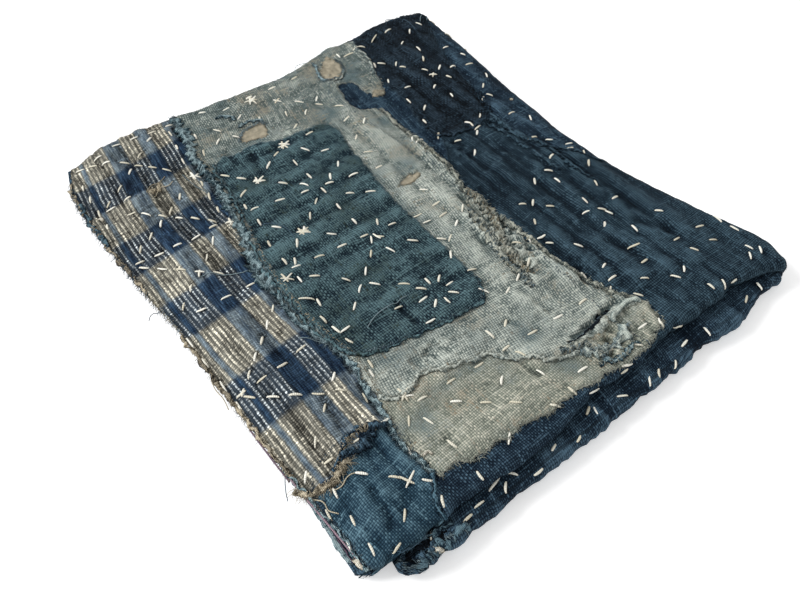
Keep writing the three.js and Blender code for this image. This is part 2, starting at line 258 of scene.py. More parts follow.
def lines_of(a, b):
    """Column and row of the sheet for cloth places a, b, which are plan places unrolled past its folds."""
    a, b = np.broadcast_arrays(np.asarray(a, float), np.asarray(b, float))
    col_share, row_share = a / STACK_WIDTH, b / STACK_DEPTH
    for _ in range(SHEET_ROUNDS):
        along_y = np.clip(row_share, 0, 1) * STACK_DEPTH
        along_x = np.clip(col_share, 0, 1) * STACK_WIDTH
        left_x, spine_x = along(LEFT_EDGE, along_y), along(SPINE, along_y)
        col_turn = -1 + np.maximum(a - spine_x, 0) / (SPINE_RADIUS * QUARTER)
        lower = (np.minimum(col_turn, 1) + 1) / 2
        centre_y = mix(along(UPPER_FOLD, along_x), along(LOWER_FOLD, along_x), lower) + FOLD_RADIUS
        back_y = along(BACK_EDGE, along_x) - LOWER_BACK_STEP * lower
        col_share = np.minimum((a - left_x) / (spine_x - left_x), 1)
        row_share = np.maximum((b - centre_y) / (back_y - centre_y), 0)
    row_turn = 1 - np.maximum(centre_y - b, 0) / (FOLD_RADIUS * QUARTER)
    return np.minimum(col_turn, SPINE_END), col_share, np.maximum(row_turn, -1), row_share


def on_top(a, b, lift):
    """Point on the upper layer at cloth place a, b, raised by lift over the plain sheet."""
    col_turn, col_share, row_turn, row_share = lines_of(a, b)
    return fold(col_turn, col_share, row_turn, row_share, 1.0, lift)


# Places read beyond these are tucked out of sight round a fold, so they are not sighted.
TUCKED_Y = -2.5
TUCKED_X = 252.0


def seen_on_plane(point):
    """Plan places at which the camera sees points, on the reading plane."""
    scale = (READING_HEIGHT - EYE[2]) / (point[..., 2] - EYE[2])
    return EYE[:2] + (point[..., :2] - EYE[:2]) * scale[..., None]


def sighted(x, y, lift=0.8):
    """Cloth places of plan places read on the reading plane. Places past the folds are taken as they are."""
    x, y = np.asarray(x, float), np.asarray(y, float)
    a, b = x.copy(), y.copy()
    free = (y > TUCKED_Y) & (x < TUCKED_X)
    for _ in range(SIGHT_ROUNDS):
        seen = seen_on_plane(on_top(a, b, lift))
        a = a + free * np.clip(SIGHT_STEP * (x - seen[..., 0]), -SIGHT_LIMIT, SIGHT_LIMIT)
        b = b + free * np.clip(SIGHT_STEP * (y - seen[..., 1]), -SIGHT_LIMIT, SIGHT_LIMIT)
    return a, b


# Outlines of the patches and of the worn spots on them, in plan places as read.

CORNER = ((4.2, -7), (4.0, 0), (4.2, 12), (4.0, 25), (4.4, 44), (12, 48), (30, 52), (47, 52), (47.5, 38),
          (46.5, 28), (48, 18), (46, 13), (42.5, 12.5), (40.5, 9), (39, 4), (38, -1), (37.5, -7))
RIGHT_PANEL = ((158, 186), (186, 186), (212, 184), (213, 170), (211.5, 160), (211.5, 151), (213.5, 144),
               (217, 136), (221, 127), (225.5, 120), (229, 111), (233, 105), (240, 102), (264, 100),
               (264, -8), (200, -8), (166, -8), (160, 6), (158, 60))
SCRAP = ((150, 258), (169, 258), (184, 252), (184, 225), (181, 200), (178, 176), (170, 158), (158, 150),
         (150, 222))
NEAR_BLACK = ((188.5, 300), (189.5, 284), (187.5, 270), (184, 256), (181, 244), (181, 228), (179.5, 208),
              (176, 196), (174.5, 184), (176.5, 176), (183, 171.5), (191, 170.5), (203, 170), (212, 172),
              (217, 183), (220.5, 196), (223.5, 212), (227, 227), (231, 242), (236, 254), (242, 266),
              (248, 280), (250, 300))
STRIPED = ((-16, 300), (62, 300), (61, 270), (60, 235), (58, 200), (54, 175), (49, 150), (48, 120),
           (50, 100), (54, 84), (52, 62), (49, 50), (45, 44.5), (41, 45.5), (38, 47.5), (34, 45),
           (30, 43.5), (26, 41), (22, 40.2), (17, 39), (12, 36.5), (7, 38.5), (2, 37), (0.5, 42), (-16, 42))
PALE_LOWER = ((46.5, 44), (44.3, 38), (45.5, 30), (47.2, 22), (47.8, 13), (50.5, 14.3), (59.5, 14),
              (62, 10.6), (66, 11.6), (70, 10.3), (74, 12.2), (80.5, 9.6), (85, 10.6), (90, 11), (93.5, 9),
              (97, 9.4), (100, 7.6), (105, 8.6), (119, 9), (129, 6.6), (134, 8.2), (139, 6.6), (146, 4.6),
              (158, 5.4), (165, 6.6), (172, 9), (177.5, 12), (178.5, 25), (172, 34), (150, 44), (110, 58),
              (80, 66), (60, 68), (50, 64))
PALE_UPPER = ((61.5, 300), (63.5, 284), (61, 275), (63, 266), (60, 258), (57.5, 250), (58, 240), (59, 231),
              (56.5, 210), (54.5, 192), (50.5, 178), (48.5, 168), (45, 158), (43.5, 150), (44.5, 134),
              (43.5, 118), (44, 106), (47.5, 93), (51, 84), (50, 72), (48.8, 60), (54, 53.5), (62, 52.3),
              (66, 53.2), (70, 56), (75, 55.6), (79, 51.4), (87, 50.2), (90, 47.6), (94, 46.8),
              (97.5, 48.5), (102, 45.5), (108, 36), (112, 33.6), (116, 32.6), (119, 28), (123, 25),
              (128, 23.2), (134, 21.6), (138, 25), (145, 24.4), (152, 23.8), (158, 26.5), (166, 26),
              (173, 25), (175, 28), (172, 33), (168.5, 38), (166.5, 44), (163, 50), (165, 60), (160.5, 70),
              (161.5, 86), (160.5, 100), (160.5, 112), (162, 120), (158.5, 134), (161.5, 143), (164, 152),
              (163, 180), (164.3, 192), (163.5, 216), (160, 223), (154, 224), (152.5, 232), (154.2, 243),
              (157.6, 251.5), (161, 252.6), (165.6, 250), (168.4, 244), (166.5, 238), (172, 227.5),
              (177, 229.5), (180, 236), (182, 246), (186, 257), (188.5, 268), (188, 276), (190.5, 284),
              (190, 300))
CENTRE = ((61, 221), (62.5, 231), (66.5, 236.5), (73, 238), (79, 234.5), (85, 236), (92, 235.5), (98, 231),
          (104, 228.5), (113, 229), (122, 228), (128, 228), (133, 224), (134.5, 218), (132, 206),
          (130, 192), (128.5, 176), (126.5, 160), (125.3, 146), (125.8, 130), (126, 110), (125.3, 94),
          (125.8, 84), (122.5, 74.5), (118, 69.2), (111, 69.8), (105, 70.2), (97, 71), (91.5, 73), (87, 74),
          (82.5, 71.8), (79, 75.5), (69.5, 75.2), (64, 78), (57, 78.8), (53.5, 82.5), (51.5, 90), (48, 98),
          (46.5, 110), (46, 130), (46.5, 147), (49, 160), (53, 173), (56, 186), (59, 202), (60.5, 212))
SPOT_LEFT = ((84.5, 243), (88, 248), (92, 250.5), (97, 251), (103, 250.5), (104, 247), (101.5, 242),
             (100, 237.5), (95, 239.5), (90, 240.5))
SPOT_BACK = ((153.8, 260), (154, 267), (158.5, 271), (163, 277), (167, 281.5), (170, 282), (171, 276),
             (172, 270), (170.5, 264.5), (164, 258.5), (157, 257.5))
SPOT_MIDDLE = ((134, 156), (138, 160), (144, 161.5), (148.5, 160), (149, 156.5), (143, 155), (138, 154.5))
SPOT_LOBE = ((168, 229), (170, 233), (176, 233), (178, 230), (174.5, 227.5), (171, 227.5))

# Layers in the order in which they lie: name, outline, thickness, raggedness, cloth, turn of its threads.
PATCHES = (
    ("right_panel", RIGHT_PANEL, 0.55, 0.35, "panel", 2),
    ("mid_blue_scrap", SCRAP, 0.4, 0.7, "scrap", -4),
    ("near_black_patch", NEAR_BLACK, 0.6, 0.8, "black", 3),
    ("corner_cloth", CORNER, 0.45, 0.7, "corner", 8),
    ("striped_patch", STRIPED, 0.6, 0.7, "striped", 0),
    ("pale_lower_patch", PALE_LOWER, 0.5, 1.2, "coarse", 4),
    ("pale_upper_patch", PALE_UPPER, 0.6, 1.1, "pale", -7),
    ("worn_spot_left", SPOT_LEFT, 0.12, 1.1, "lining", 0),
    ("worn_spot_back", SPOT_BACK, 0.12, 1.1, "lining", 0),
    ("worn_spot_middle", SPOT_MIDDLE, 0.12, 0.9, "lining", 0),
    ("worn_spot_lobe", SPOT_LOBE, 0.12, 0.9, "lining", 0),
    ("centre_patch", CENTRE, 0.7, 0.9, "centre", 1),
)

# Rows of stitches: first place, last place, number of stitches, and their angle in degrees.
STITCH_ROWS = (
    (2, 278, 16, 274.5, 3, -15), (27, 286, 59, 283, 4, -10), (24.5, 268.5, 40.5, 247, 4, -50),
    (44, 277, 4, 242, 5, 45), (56, 275, 51.5, 250, 3, 80), (-2, 264, -3, 227, 4, 78),
    (17, 224, 42, 196, 5, -50), (37, 224, 4, 202, 5, 55), (51, 226, 48.5, 202, 3, 80),
    (0, 193, 40.5, 192, 5, 0), (0, 188.5, 28, 163.5, 5, -45), (36, 184, 5, 154.5, 5, 55),
    (10.5, 147, 36.5, 146, 3, -3), (38, 128, 4, 95, 6, 50), (3, 95, 36, 99, 4, 5), (5, 91, 38, 70, 5, -40),
    (39.5, 78, 5, 46, 4, 50), (16, 46, 45.5, 47, 3, 3), (45, 62, 45, 30, 3, 75), (10.5, 33, 9, 6, 3, 82),
    (3.5, 27, 3, 13, 2, 85), (23.5, 33.5, 43, 15, 3, -45), (64, 223, 76, 208, 3, -50),
    (87, 215, 65, 204, 2, 32), (100, 208, 100, 150, 5, 88), (61, 195, 61, 180, 2, 85),
    (57.5, 164, 57, 134, 3, 86), (64, 190, 119.5, 179, 5, -12), (92.5, 174.5, 68.5, 155, 4, 52),
    (66, 171, 86, 150, 3, -48), (110, 168.5, 119.5, 163, 2, -30), (60, 142, 98, 138, 4, -10),
    (109, 142, 99.5, 134, 2, 55), (75, 120.5, 84.5, 110, 2, -52), (94, 126.5, 69, 104.5, 4, 45),
    (53, 107, 56, 90, 3, -78), (64, 46, 155, 41, 7, -2), (74.5, 36, 94, 20, 3, -38),
    (112, 37, 113, 25, 2, -75), (129, 15, 167, 15, 3, 0), (129, 134, 141.5, 134.5, 2, 0),
    (130, 127.5, 139.5, 126, 2, 0), (141, 117, 132, 111, 2, 38), (132.5, 68, 151.5, 74.5, 3, 30),
    (93, 276, 141, 276, 4, 3), (95, 263, 75, 252, 2, 35), (79, 261, 85, 249, 2, -58),
    (104, 254, 119, 249, 2, 76), (66.5, 264, 64, 249, 2, 78), (131, 254, 147.5, 235, 3, -45),
    (141, 250, 117, 235.5, 3, 44),
)
# Single stitches: place and angle.
STITCHES = (
    (14, 281.5, 10), (3.5, 238, 0), (14, 240.5, 25), (11, 228.5, -5), (27, 9.5, 45), (42, 4.5, 65),
    (61, 4, 85), (17, 0, 25), (95, 220, 30), (110, 213.5, -60), (118.5, 206, -20), (119.5, 224, 0),
    (86, 198, -45), (94, 189, -60), (109, 186, 60), (118, 192, 50), (61.5, 146, 60), (114, 136, 0),
    (103, 134, -80), (104, 133, -45), (57, 117, 85), (64, 131.5, -35), (103, 122.5, -75), (95, 100.5, -35),
    (125, 102, 50), (58, 96, 8), (85, 91.5, -10), (92, 76, -10), (123, 74.5, -60), (56.5, 74, 88),
    (54, 69.5, 80), (53, 41, 60), (59.5, 36, -80), (108.5, 53.5, 88), (118.5, 54, 45), (61, 22, -80),
    (81, 9.5, 45), (106.5, 9, -55), (117.5, 10, 88), (146, 4, -30), (157, 9, -40), (97, 32, 45),
    (137, 190, -35), (135, 177, -5), (143, 147, -50), (128, 113, -40), (150, 123, 40), (127, 88, -10),
    (155, 87, -60), (80, 282, -30), (121, 263, 30), (121, 263, -60), (144, 222, 15), (151, 214, 50),
    (139, 205, 50), (176, 279, 80), (189, 278, 20), (193, 277, -50), (227.5, 271, 55), (215.5, 263, 38),
    (188, 255.5, 65), (199, 247.5, 45), (200, 242, -42), (220, 252, 80), (215, 240.5, 65), (184.5, 236, 60),
    (182, 212, 85), (209, 231, -60), (190, 223.5, -8), (210, 224, 45), (210, 224, -45), (217.5, 227, 38),
    (216, 216, -70), (203.5, 214, 40), (186, 201.5, 40), (206.5, 201.5, 75), (238, 275, -60),
    (235, 242.5, 0), (239, 230, -75), (235, 219, -20), (225, 223, 0), (237, 204.5, 50), (227.5, 197, 45),
    (178.5, 192, 82), (206.5, 175.5, 50), (197, 175, -60), (197.5, 172, 75), (183, 167, -25),
    (176.5, 176.5, 50), (225, 188, -65), (220, 188, 45), (162.5, 182.5, 50), (164, 178, 0),
    (199, 168.5, 10), (196, 165.5, 45), (224, 167, 0), (229.5, 157, 65), (212.5, 152, -50),
    (216, 143.5, 25), (219, 143, -25), (224.5, 136, -60), (230, 126, -20), (226.5, 122, -20),
    (213.5, 123, 8), (231, 115.5, 50), (193.5, 115, 50), (204.5, 116, -40), (226, 107, 50),
    (202.5, 107.5, 85), (176.5, 106, -40), (181.5, 103.5, 50), (186.5, 96, -40), (173, 93, 50),
    (216.5, 93, 65), (203, 87.5, 85), (162, 86, 72), (168, 83, -3), (168.5, 77.5, -50), (164, 69, -80),
    (178.5, 67.5, -55), (198, 81.5, -12), (206, 78, -50), (207.5, 74.5, -75), (217, 79.5, 5),
    (199.5, 70, 35), (209, 58.5, 85), (227.5, 59, -48), (178, 50, 25), (166.5, 52, 88), (197, 41, 0),
    (220.5, 41, 0), (236, 39.5, -20), (188, 33, -30), (221.5, 31, -70), (234, 29.5, -35), (179, 28.5, -55),
    (201, 25, -60), (208, 26, 40), (170.5, 38.5, 30), (209.5, 11, 88), (220.5, 5.5, 0), (243.5, 15.5, -75),
    (240, 12, 50), (175, 12, 48), (174, 10, 55), (167, 2.5, -10), (178.5, 4, -8), (124, 3, -10),
    (142, 1.5, 0),
)
# Single stitches of another length: place, angle and length.
ODD_STITCHES = (
    (-2.2, 134, 87, 8), (-1.8, 120, 86, 8), (-1.2, 104, 85, 8), (-0.6, 90, 84, 8), (53, 121.5, -40, 9),
    (115.5, 120.5, -40, 6.5), (182, 276, 0, 8), (205, 280, 28, 11), (217, 281, 20, 6.5),
    (192.5, 254.5, -38, 6.5), (183.5, 153, 50, 6.5), (200.5, 51, -15, 7.5), (176, 42.5, 5, 7),
    (215, 8, 45, 8), (113, 88, 0, 5), (97, 88, 0, 5), (105.5, 95.5, 90, 5), (105.5, 80.5, 90, 5),
    (111, 93.5, 45, 5), (100, 82.5, 45, 5), (100, 93.5, -45, 5), (111, 82.5, -45, 5),
)
# Small stars of stitches that cross in one place: place and number of arms.
STARS = (
    (51, 235, 3), (50, 189, 3), (37, 20, 2), (76.5, 208, 3), (102.5, 224, 5), (75, 160, 3), (52, 138, 3),
    (59, 52, 3), (109, 273, 5),
)

# Stitches on the front fold of the lower pair: place, angle and length.
LOWER_STITCHES = (
    (63, -2, 15, 8), (71, -3, -50, 5), (65.5, -6, 50, 5), (52.5, -5, 0, 5), (45.5, -6.5, 5, 5),
    (30, -3.5, 45, 5), (80, -9, 0, 5), (103.5, -8, 25, 5), (115.5, -0.5, 40, 5), (118, -3.5, 75, 5),
    (147, -7, 45, 6), (153, -7, 45, 5), (162, -8, 40, 5), (187, -5, 75, 5), (204.5, -6, -85, 5),
    (227, -3, 70, 5), (92, -5, 20, 5), (132, -5, -30, 5), (174, -3, 10, 5), (216, -4, 30, 5),
)

# Frayed edges: name, cloth, thread, width and height of the rolled edge, spacing and length of the hairs,
# and the line as read. Hairs point to the right of the line, and an edge of no width isn't rolled.
FRAYED_EDGES = (
    ("pale_left", "frayed_blue", "blue_grey", 4.4, 1.6, 0.26, 3.8,
     ((64, 289), (62, 275), (63, 266), (60, 258), (57.5, 250), (57, 240), (57, 228), (55, 210), (53, 192),
      (49.5, 178), (47.5, 168), (44.5, 158), (43, 150), (43.6, 138))),
    ("pale_left_front", "frayed_blue", "blue_grey", 2.0, 1.0, 0.3, 3.0,
     ((43.4, 142), (43.6, 130), (43, 118), (43.6, 106), (47, 93), (50, 84), (49, 74), (47.6, 62), (46, 46),
      (44, 38), (45, 28), (46.6, 16))),
    ("centre_left", "centre", "blue_grey", 1.6, 0.8, 0.45, 2.2,
     ((64, 236), (60.5, 228), (60, 214), (57.5, 200), (54.5, 186), (51, 173), (47.5, 160), (45.6, 147),
      (45, 130), (45.4, 110), (47, 98), (50.4, 90), (52.5, 82.5), (57, 79), (64, 78))),
    ("centre_front", "centre", "blue", 1.2, 0.5, 0.6, 1.4,
     ((57, 78.5), (69.5, 75), (79, 75), (83, 71.8), (87, 73.6), (97, 70.8), (111, 69.6), (118, 69),
      (122.5, 74), (125.6, 82))),
    ("pale_front", "coarse", "grey", 0, 0.3, 0.5, 2.0,
     ((47.8, 13), (50.5, 14), (59.5, 13.8), (62, 10.4), (70, 10.1), (74, 12), (80.5, 9.4), (90, 10.8),
      (97, 9.2), (100, 7.5), (119, 8.8), (129, 6.5), (134, 8), (146, 4.5), (158, 5.3), (172, 8.8),
      (178, 12.2))),
    ("pale_step", "pale", "grey", 1.7, 0.8, 0.5, 2.2,
     ((49, 58), (54, 53), (62, 52), (70, 55.6), (75, 55.2), (79, 51), (87, 49.8), (94, 46.4), (98, 48),
      (102, 45), (108, 35.6), (116, 32), (119, 27.4), (128, 22.6), (134, 21.2))),
    ("pale_right", "gathered", "grey", 2.0, 1.3, 0.42, 2.8,
     ((173, 30), (168.5, 38), (166, 46), (164, 56), (162, 70), (162.4, 86), (161.4, 100), (161.6, 112),
      (162.6, 121), (159.6, 134), (162.4, 143), (164.6, 152), (163.6, 166), (163.4, 180), (164.8, 192),
      (164, 216))),
    ("gather", "gathered", "beige", 4.4, 2.1, 0.3, 3.4,
     ((148, 70), (147, 80), (149, 90), (152.4, 96.5), (156, 103), (158.6, 110), (160, 117), (160, 124),
      (159.4, 132))),
    ("gather_left", "gathered", "blue_grey", 3.0, 1.3, 0.4, 3.0,
     ((143, 62), (144, 74), (143.6, 86), (147, 98), (150, 108), (152, 120))),
    ("striped_front_left", "frayed_beige", "beige", 2.8, 1.1, 0.2, 4.2,
     ((-1.5, 44), (0.6, 38), (5, 38), (10, 36.6), (14, 37.4), (18, 39.4), (22, 41))),
    ("striped_front_right", "navy", "blue", 3.4, 2.0, 0.26, 3.4,
     ((20, 42.6), (24, 45), (28, 41.6), (32, 43.6), (36, 46.4), (40, 46.8), (45, 44.4))),
    ("striped_front_middle", "navy", "beige", 2.0, 1.2, 0.3, 3.6,
     ((14, 40), (18, 43), (23, 46), (27, 49), (33, 50), (38, 49))),
    ("left_worn_edge", "frayed_beige", "beige", 1.7, 0.7, 0.5, 2.0,
     ((-4.2, 140), (-3.4, 128), (-3, 116), (-2.6, 104), (-2.2, 92), (-1.6, 82), (-1, 70), (-0.4, 58),
      (0, 48))),
    ("left_back_edge", "frayed_beige", "blue", 1.8, 0.9, 0.4, 2.8,
     ((-6.6, 271), (-8.8, 262), (-9.6, 248), (-9.4, 232), (-9, 216), (-8, 200), (-7, 188), (-6, 172))),
    ("left_blue_edge", "frayed_navy", "blue", 2.6, 1.2, 0.4, 3.2,
     ((-8.4, 252), (-9.2, 242), (-9.2, 232), (-8.8, 222), (-8.2, 212))),
    ("selvage", "frayed_blue", "blue_grey", 1.4, 0.6, 0.8, 1.6,
     ((0.4, 50), (0.6, 40), (1.6, 28), (2.6, 16), (3.2, 6), (3.6, 0))),
    ("black_front", "black", "blue", 1.2, 0.6, 0.7, 1.8,
     ((174.5, 186), (176, 176), (183, 171), (191, 170), (203, 169.6), (212, 171.6), (217.4, 180),
      (221, 194))),
    ("lobe", "pale", "blue_grey", 1.5, 0.9, 0.5, 2.0,
     ((181, 246), (186, 257), (188.6, 268), (188.4, 276), (190.5, 284))),
    ("spine_tear", "panel", "blue", 1.9, 0.8, 0.5, 2.4,
     ((213.6, 178), (212.6, 170), (211.6, 160), (212, 151), (214, 143), (217.6, 136), (222, 127),
      (226, 119), (230, 110), (234, 104))),
    ("torn_clump", "gathered", "blue_grey", 4.4, 1.3, 0.25, 3.0,
     ((127, 27), (131, 25), (135, 24.6), (138.6, 24), (140, 21), (140.6, 17), (141, 13))),
    ("torn_lump", "tongue", "blue_grey", 4.6, 1.5, 0.25, 3.0,
     ((134, 22.6), (138, 19.6), (143, 17.6), (148, 15.6), (153, 16), (158, 18), (162, 19.4))),
    ("torn_lump_front", "frayed_blue", "grey", 3.4, 1.0, 0.3, 2.8,
     ((136, 12.6), (141, 10.6), (147, 8.6), (153, 9.4), (158, 11.6))),
    ("spot_left_rim", "pale", "blue_grey", 0, 0.4, 0.3, 2.4, SPOT_LEFT[:6]),
    ("spot_back_rim", "pale", "blue_grey", 0, 0.4, 0.3, 2.4, SPOT_BACK[6:] + SPOT_BACK[:2]),
    ("spot_middle_rim", "pale", "grey", 0, 0.4, 0.4, 1.8, SPOT_MIDDLE[:4]),
    ("tear_left", "frayed_blue", "blue_grey", 1.8, 0.9, 0.5, 2.4,
     ((82.9, 270.7), (87.6, 269.4), (91.6, 264.4), (91.8, 261.2))),
    ("tear_spot", "frayed_blue", "blue_grey", 1.6, 0.8, 0.5, 2.4,
     ((90, 256), (94.6, 256.6), (98.4, 255), (101.4, 253.4), (104.6, 251.4))),
    ("tear_back", "frayed_blue", "blue_grey", 1.5, 0.8, 0.5, 2.6,
     ((158.5, 281), (156.4, 273.2), (153.0, 265.3), (153.4, 259.5))),
    ("tear_back_right", "pale", "blue_grey", 1.5, 0.8, 0.5, 2.6,
     ((157.2, 255.4), (163.5, 256.8), (170.4, 263.2))),
    # The slit's rolled edge is painted shadow: a flat near-black strip in the slit, with frayed threads along
    # it.
    ("slit", "deep", "blue_grey", 1.7, 0.1, 0.9, 1.4,
     ((133, 27.4), (139, 27.6), (145, 29.0), (151, 29.2), (157, 30.6), (161, 30.2))),
    ("seam_torn", "panel", "blue", 3.4, 1.2, 0.5, 2.2,
     ((208.4, 171.2), (211.1, 165.5), (212.4, 157.5), (213.6, 148.7), (216.4, 140.9), (217.8, 131.0),
      (217.0, 119.9), (216.5, 107.9), (217.1, 97.4))),
    ("seam_torn_left", "panel", "blue", 2.2, 0.8, 0.6, 2.0,
     ((205, 170), (207, 158), (207.6, 147), (208, 137), (208.6, 126), (209, 112))),
    ("corner_tear", "corner", "blue", 1.4, 0.8, 0.6, 1.6,
     ((47.2, 17), (44, 12.6), (40.6, 9), (39.2, 4), (38.2, -1))),
)

# Curls and frays at the near corner of the lower pair, and a near-black strip of painted shadow in its
# hollow: line as read, cloth, thread, width and height.
LOWER_CURLS = (
    # A flat near-black strip: painted shadow in the hollow of the lower front fold.
    ("lower_shadow_strip", ((17, -5.2), (20, -4.6), (24, -4.8), (29, -5.6), (36, -5.8)), "deep", None, 4.0, 0.25),
    ("lower_lip", ((14.8, -3.4), (17.9, -1.8), (22, -2.0), (27, -2.8), (33, -3.6), (40, -4.0)),
     "frayed_navy", "blue", 2.2, 1.4),
    ("lower_end", ((14.8, -3.2), (14.6, -6), (15.4, -9), (17.6, -10.8)), "navy", "blue_grey", 3.2, 2.0),
    ("lower_curl", ((16, -10.4), (19, -9.4), (22, -8.6), (26, -9.0), (31, -8.2), (37, -8.8), (44, -8.4)),
     "frayed_navy", "blue_grey", 2.2, 1.5),
    ("lower_seam", ((20, -7), (23, -6.6), (27, -7.2), (30, -6.4)), "navy", "blue", 2.0, 1.6),
    ("lower_tuft", ((26.5, -8.4), (29.4, -9.2), (30.6, -8.4)), "tuft", None, 1.9, 1.3),
)
# Edge of the layer that shows beside the near left corner: distance from its edge, cloth, width and height.
HIDDEN_EDGES = (("hidden_edge", 0.7, "frayed_blue", 1.8, 0.6), ("hidden_cord", 1.9, "rose", 0.7, 0.5))

# Single loose threads: curves as read, thread and width.
LOOSE_THREADS = (
    ("pale_blue_threads", (((19, 168), (26, 163), (34, 157), (42, 152), (50, 148)),
                           ((46, 240), (46.5, 232), (47.5, 225), (50, 215)),
                           ((38, 104), (43, 99), (47, 94), (50, 92)),
                           ((66, 90), (72, 93), (80, 94), (92, 94)),
                           ((144, 278), (146, 284), (150, 287), (155, 284)),
                           ((240, 276), (244, 281), (248, 279), (245, 275))), "blue_grey", 0.42),
    ("dark_threads", (((-1, 52), (-3, 49), (-5, 45), (-6, 42)),
                      ((-5, 159), (-8, 161), (-10, 160), (-12, 158)),
                      ((221, 288), (223, 293), (225, 292), (226, 288)),
                      ((230, 283), (233, 285), (232, 278), (231, 270)),
                      ((14, 2), (18, -3), (24, -4), (30, -2)), ((60, 178), (66, 174), (70, 166), (69, 158))),
     "blue", 0.4),
    ("beige_threads", (((2, 36), (5, 32), (4, 28), (7, 25)), ((24, 238), (28, 242), (33, 239), (37, 241)),
                       ((-4, 110), (-5, 104), (-4, 98), (-5, 92)), ((9, 35), (14, 33), (18, 36), (22, 35)),
                       ((26, 233), (31, 236), (36, 233), (39, 236))), "beige", 0.5),
    ("selvage_cord", (((-0.6, 50), (0.0, 38), (1.0, 26), (2.2, 12), (3.0, 2)),
                      ((-2.6, 78), (-2.4, 68), (-2.0, 58), (-1.4, 48))), "rose", 0.8),
)

# Tufts of thread ends and smooth rolled strips: line, cloth, width, height and how crumpled they are.
TUFTS = (
    ("tuft_corner", ((2.6, 6.6), (1.8, 4.2), (2.4, 1.8)), "tuft", 1.8, 1.2, 0.6),
    ("tuft_knot", ((47.6, 24.6), (50.4, 24.8), (51.2, 22.6)), "tuft", 1.3, 0.8, 0.4),
    ("tuft_left", ((-4.6, 236), (-3.6, 234.4), (-2.6, 232.6)), "tuft", 1.8, 1.2, 0.6),
    ("tuft_spine", ((231.4, 177), (232.8, 175.6)), "tuft", 1.6, 1.0, 0.6),
    ("knot_beige", ((25, 238), (29, 236.6), (33, 237.6)), "frayed_beige", 3.4, 1.6, 1.0),
    ("tongue", ((157, 24.8), (161, 26.6), (165, 27.8), (169, 28.2), (173, 27.2), (176, 24.6)), "tongue",
     2.4, 1.4, 0.3),
)

# Stitches: length and width, how far the angles stray, the shares to which the lengths do, and the shorter
# ones to the right of one place. The arms of a star are longer, and they cross a little beside its centre.
STITCH_LENGTH = 5.2
STITCH_WIDTH = 1.22
STITCH_STRAY = 7
STITCH_SHARES = (0.85, 1.12)
STITCH_SEED = 41
SHORTER_X = 168
SHORTER_SHARE = 0.86
STAR_LENGTH = 7.2
STAR_SPREAD = 0.8
STAR_STEP = 2.4
STAR_TURN = 25


# Maps of the cloth, on a square grid over the unrolled plan

GRID_STEP = 0.7
GRID_LOW = np.array((-24.0, -18.0))
GRID_SIZE = (446, 476)
LAST_CELL = 1.001
GRID_A, GRID_B = np.meshgrid(GRID_LOW[0] + GRID_STEP * np.arange(GRID_SIZE[0]),
                             GRID_LOW[1] + GRID_STEP * np.arange(GRID_SIZE[1]), indexing="ij")


def blurred(field, rounds):
    """A map blurred a little in each round."""
    for _ in range(rounds):
        padded = np.pad(field, 1, mode="edge")
        field = (padded[:-2, 1:-1] + 2 * padded[1:-1, 1:-1] + padded[2:, 1:-1]) / 4
        padded = np.pad(field, 1, mode="edge")
        field = (padded[1:-1, :-2] + 2 * padded[1:-1, 1:-1] + padded[1:-1, 2:]) / 4
    return field


def sampled(field, a, b):
    """Value of a map at cloth places a, b."""
    u = np.clip((a - GRID_LOW[0]) / GRID_STEP, 0, GRID_SIZE[0] - LAST_CELL)
    v = np.clip((b - GRID_LOW[1]) / GRID_STEP, 0, GRID_SIZE[1] - LAST_CELL)
    i, j = np.floor(u).astype(int), np.floor(v).astype(int)
    u, v = u - i, v - j
    return mix(mix(field[i, j], field[i + 1, j], u), mix(field[i, j + 1], field[i + 1, j + 1], u), v)


def inside(outline, a, b):
    """Whether places lie within a closed outline."""
    result = np.zeros(np.shape(a), bool)
    for (x0, y0), (x1, y1) in zip(outline, np.roll(outline, -1, axis=0)):
        if y0 != y1:
            crossing = (b >= min(y0, y1)) & (b < max(y0, y1))
            result ^= crossing & (a < x0 + (b - y0) * (x1 - x0) / (y1 - y0))
    return result


# Outlines of the patches on the cloth

CUT_STEP = 1.0
CUT_FEATURE = 2.6
RAGGED_REACH = 1.4
EDGE_INSET = 0.3
WRAP_TURN = 0.72
WRAP_SPINE = 17.0


def distances(points):
    """How far along an open line each of its points lies."""
    return np.concatenate(([0], np.cumsum(np.hypot(*np.diff(points, axis=0).T))))


def spaced(points, count, closed=False):
    """Places at equal distances along a line. A closed one has its first point again at the end."""
    length = distances(points)
    at = np.linspace(0, length[-1], count, endpoint=not closed)
    return np.stack((np.interp(at, length, points[:, 0]), np.interp(at, length, points[:, 1])), 1)


def resampled(points, step, closed=True):
    points = np.asarray(points, float)
    if closed:
        points = np.vstack((points, points[:1]))
    return spaced(points, max(int(distances(points)[-1] / step), 3), closed)


def cut_corners(points, after):
    """Two places on each side of a line, a quarter of it from both ends."""
    return np.stack((0.75 * points + 0.25 * after, 0.25 * points + 0.75 * after), 1).reshape(-1, 2)


def right_of(direction):
    """Directions turned a quarter to the right."""
    return np.stack((direction[..., 1], -direction[..., 0]), -1)


def kept_on_sheet(a, b):
    """Cloth places moved inside the sheet's free edges and not too far round its folds."""
    along_y = np.clip(b, 0, STACK_DEPTH)
    along_x = np.clip(a, 0, STACK_WIDTH)
    low_a = along(LEFT_EDGE, along_y) + EDGE_INSET
    high_a = along(SPINE, along_y) + WRAP_SPINE
    low_b = along(UPPER_FOLD, along_x) + FOLD_RADIUS * (1 - (1 + WRAP_TURN) * QUARTER)
    high_b = along(BACK_EDGE, along_x) - EDGE_INSET
    return np.clip(a, low_a, high_a), np.clip(b, low_b, high_b)


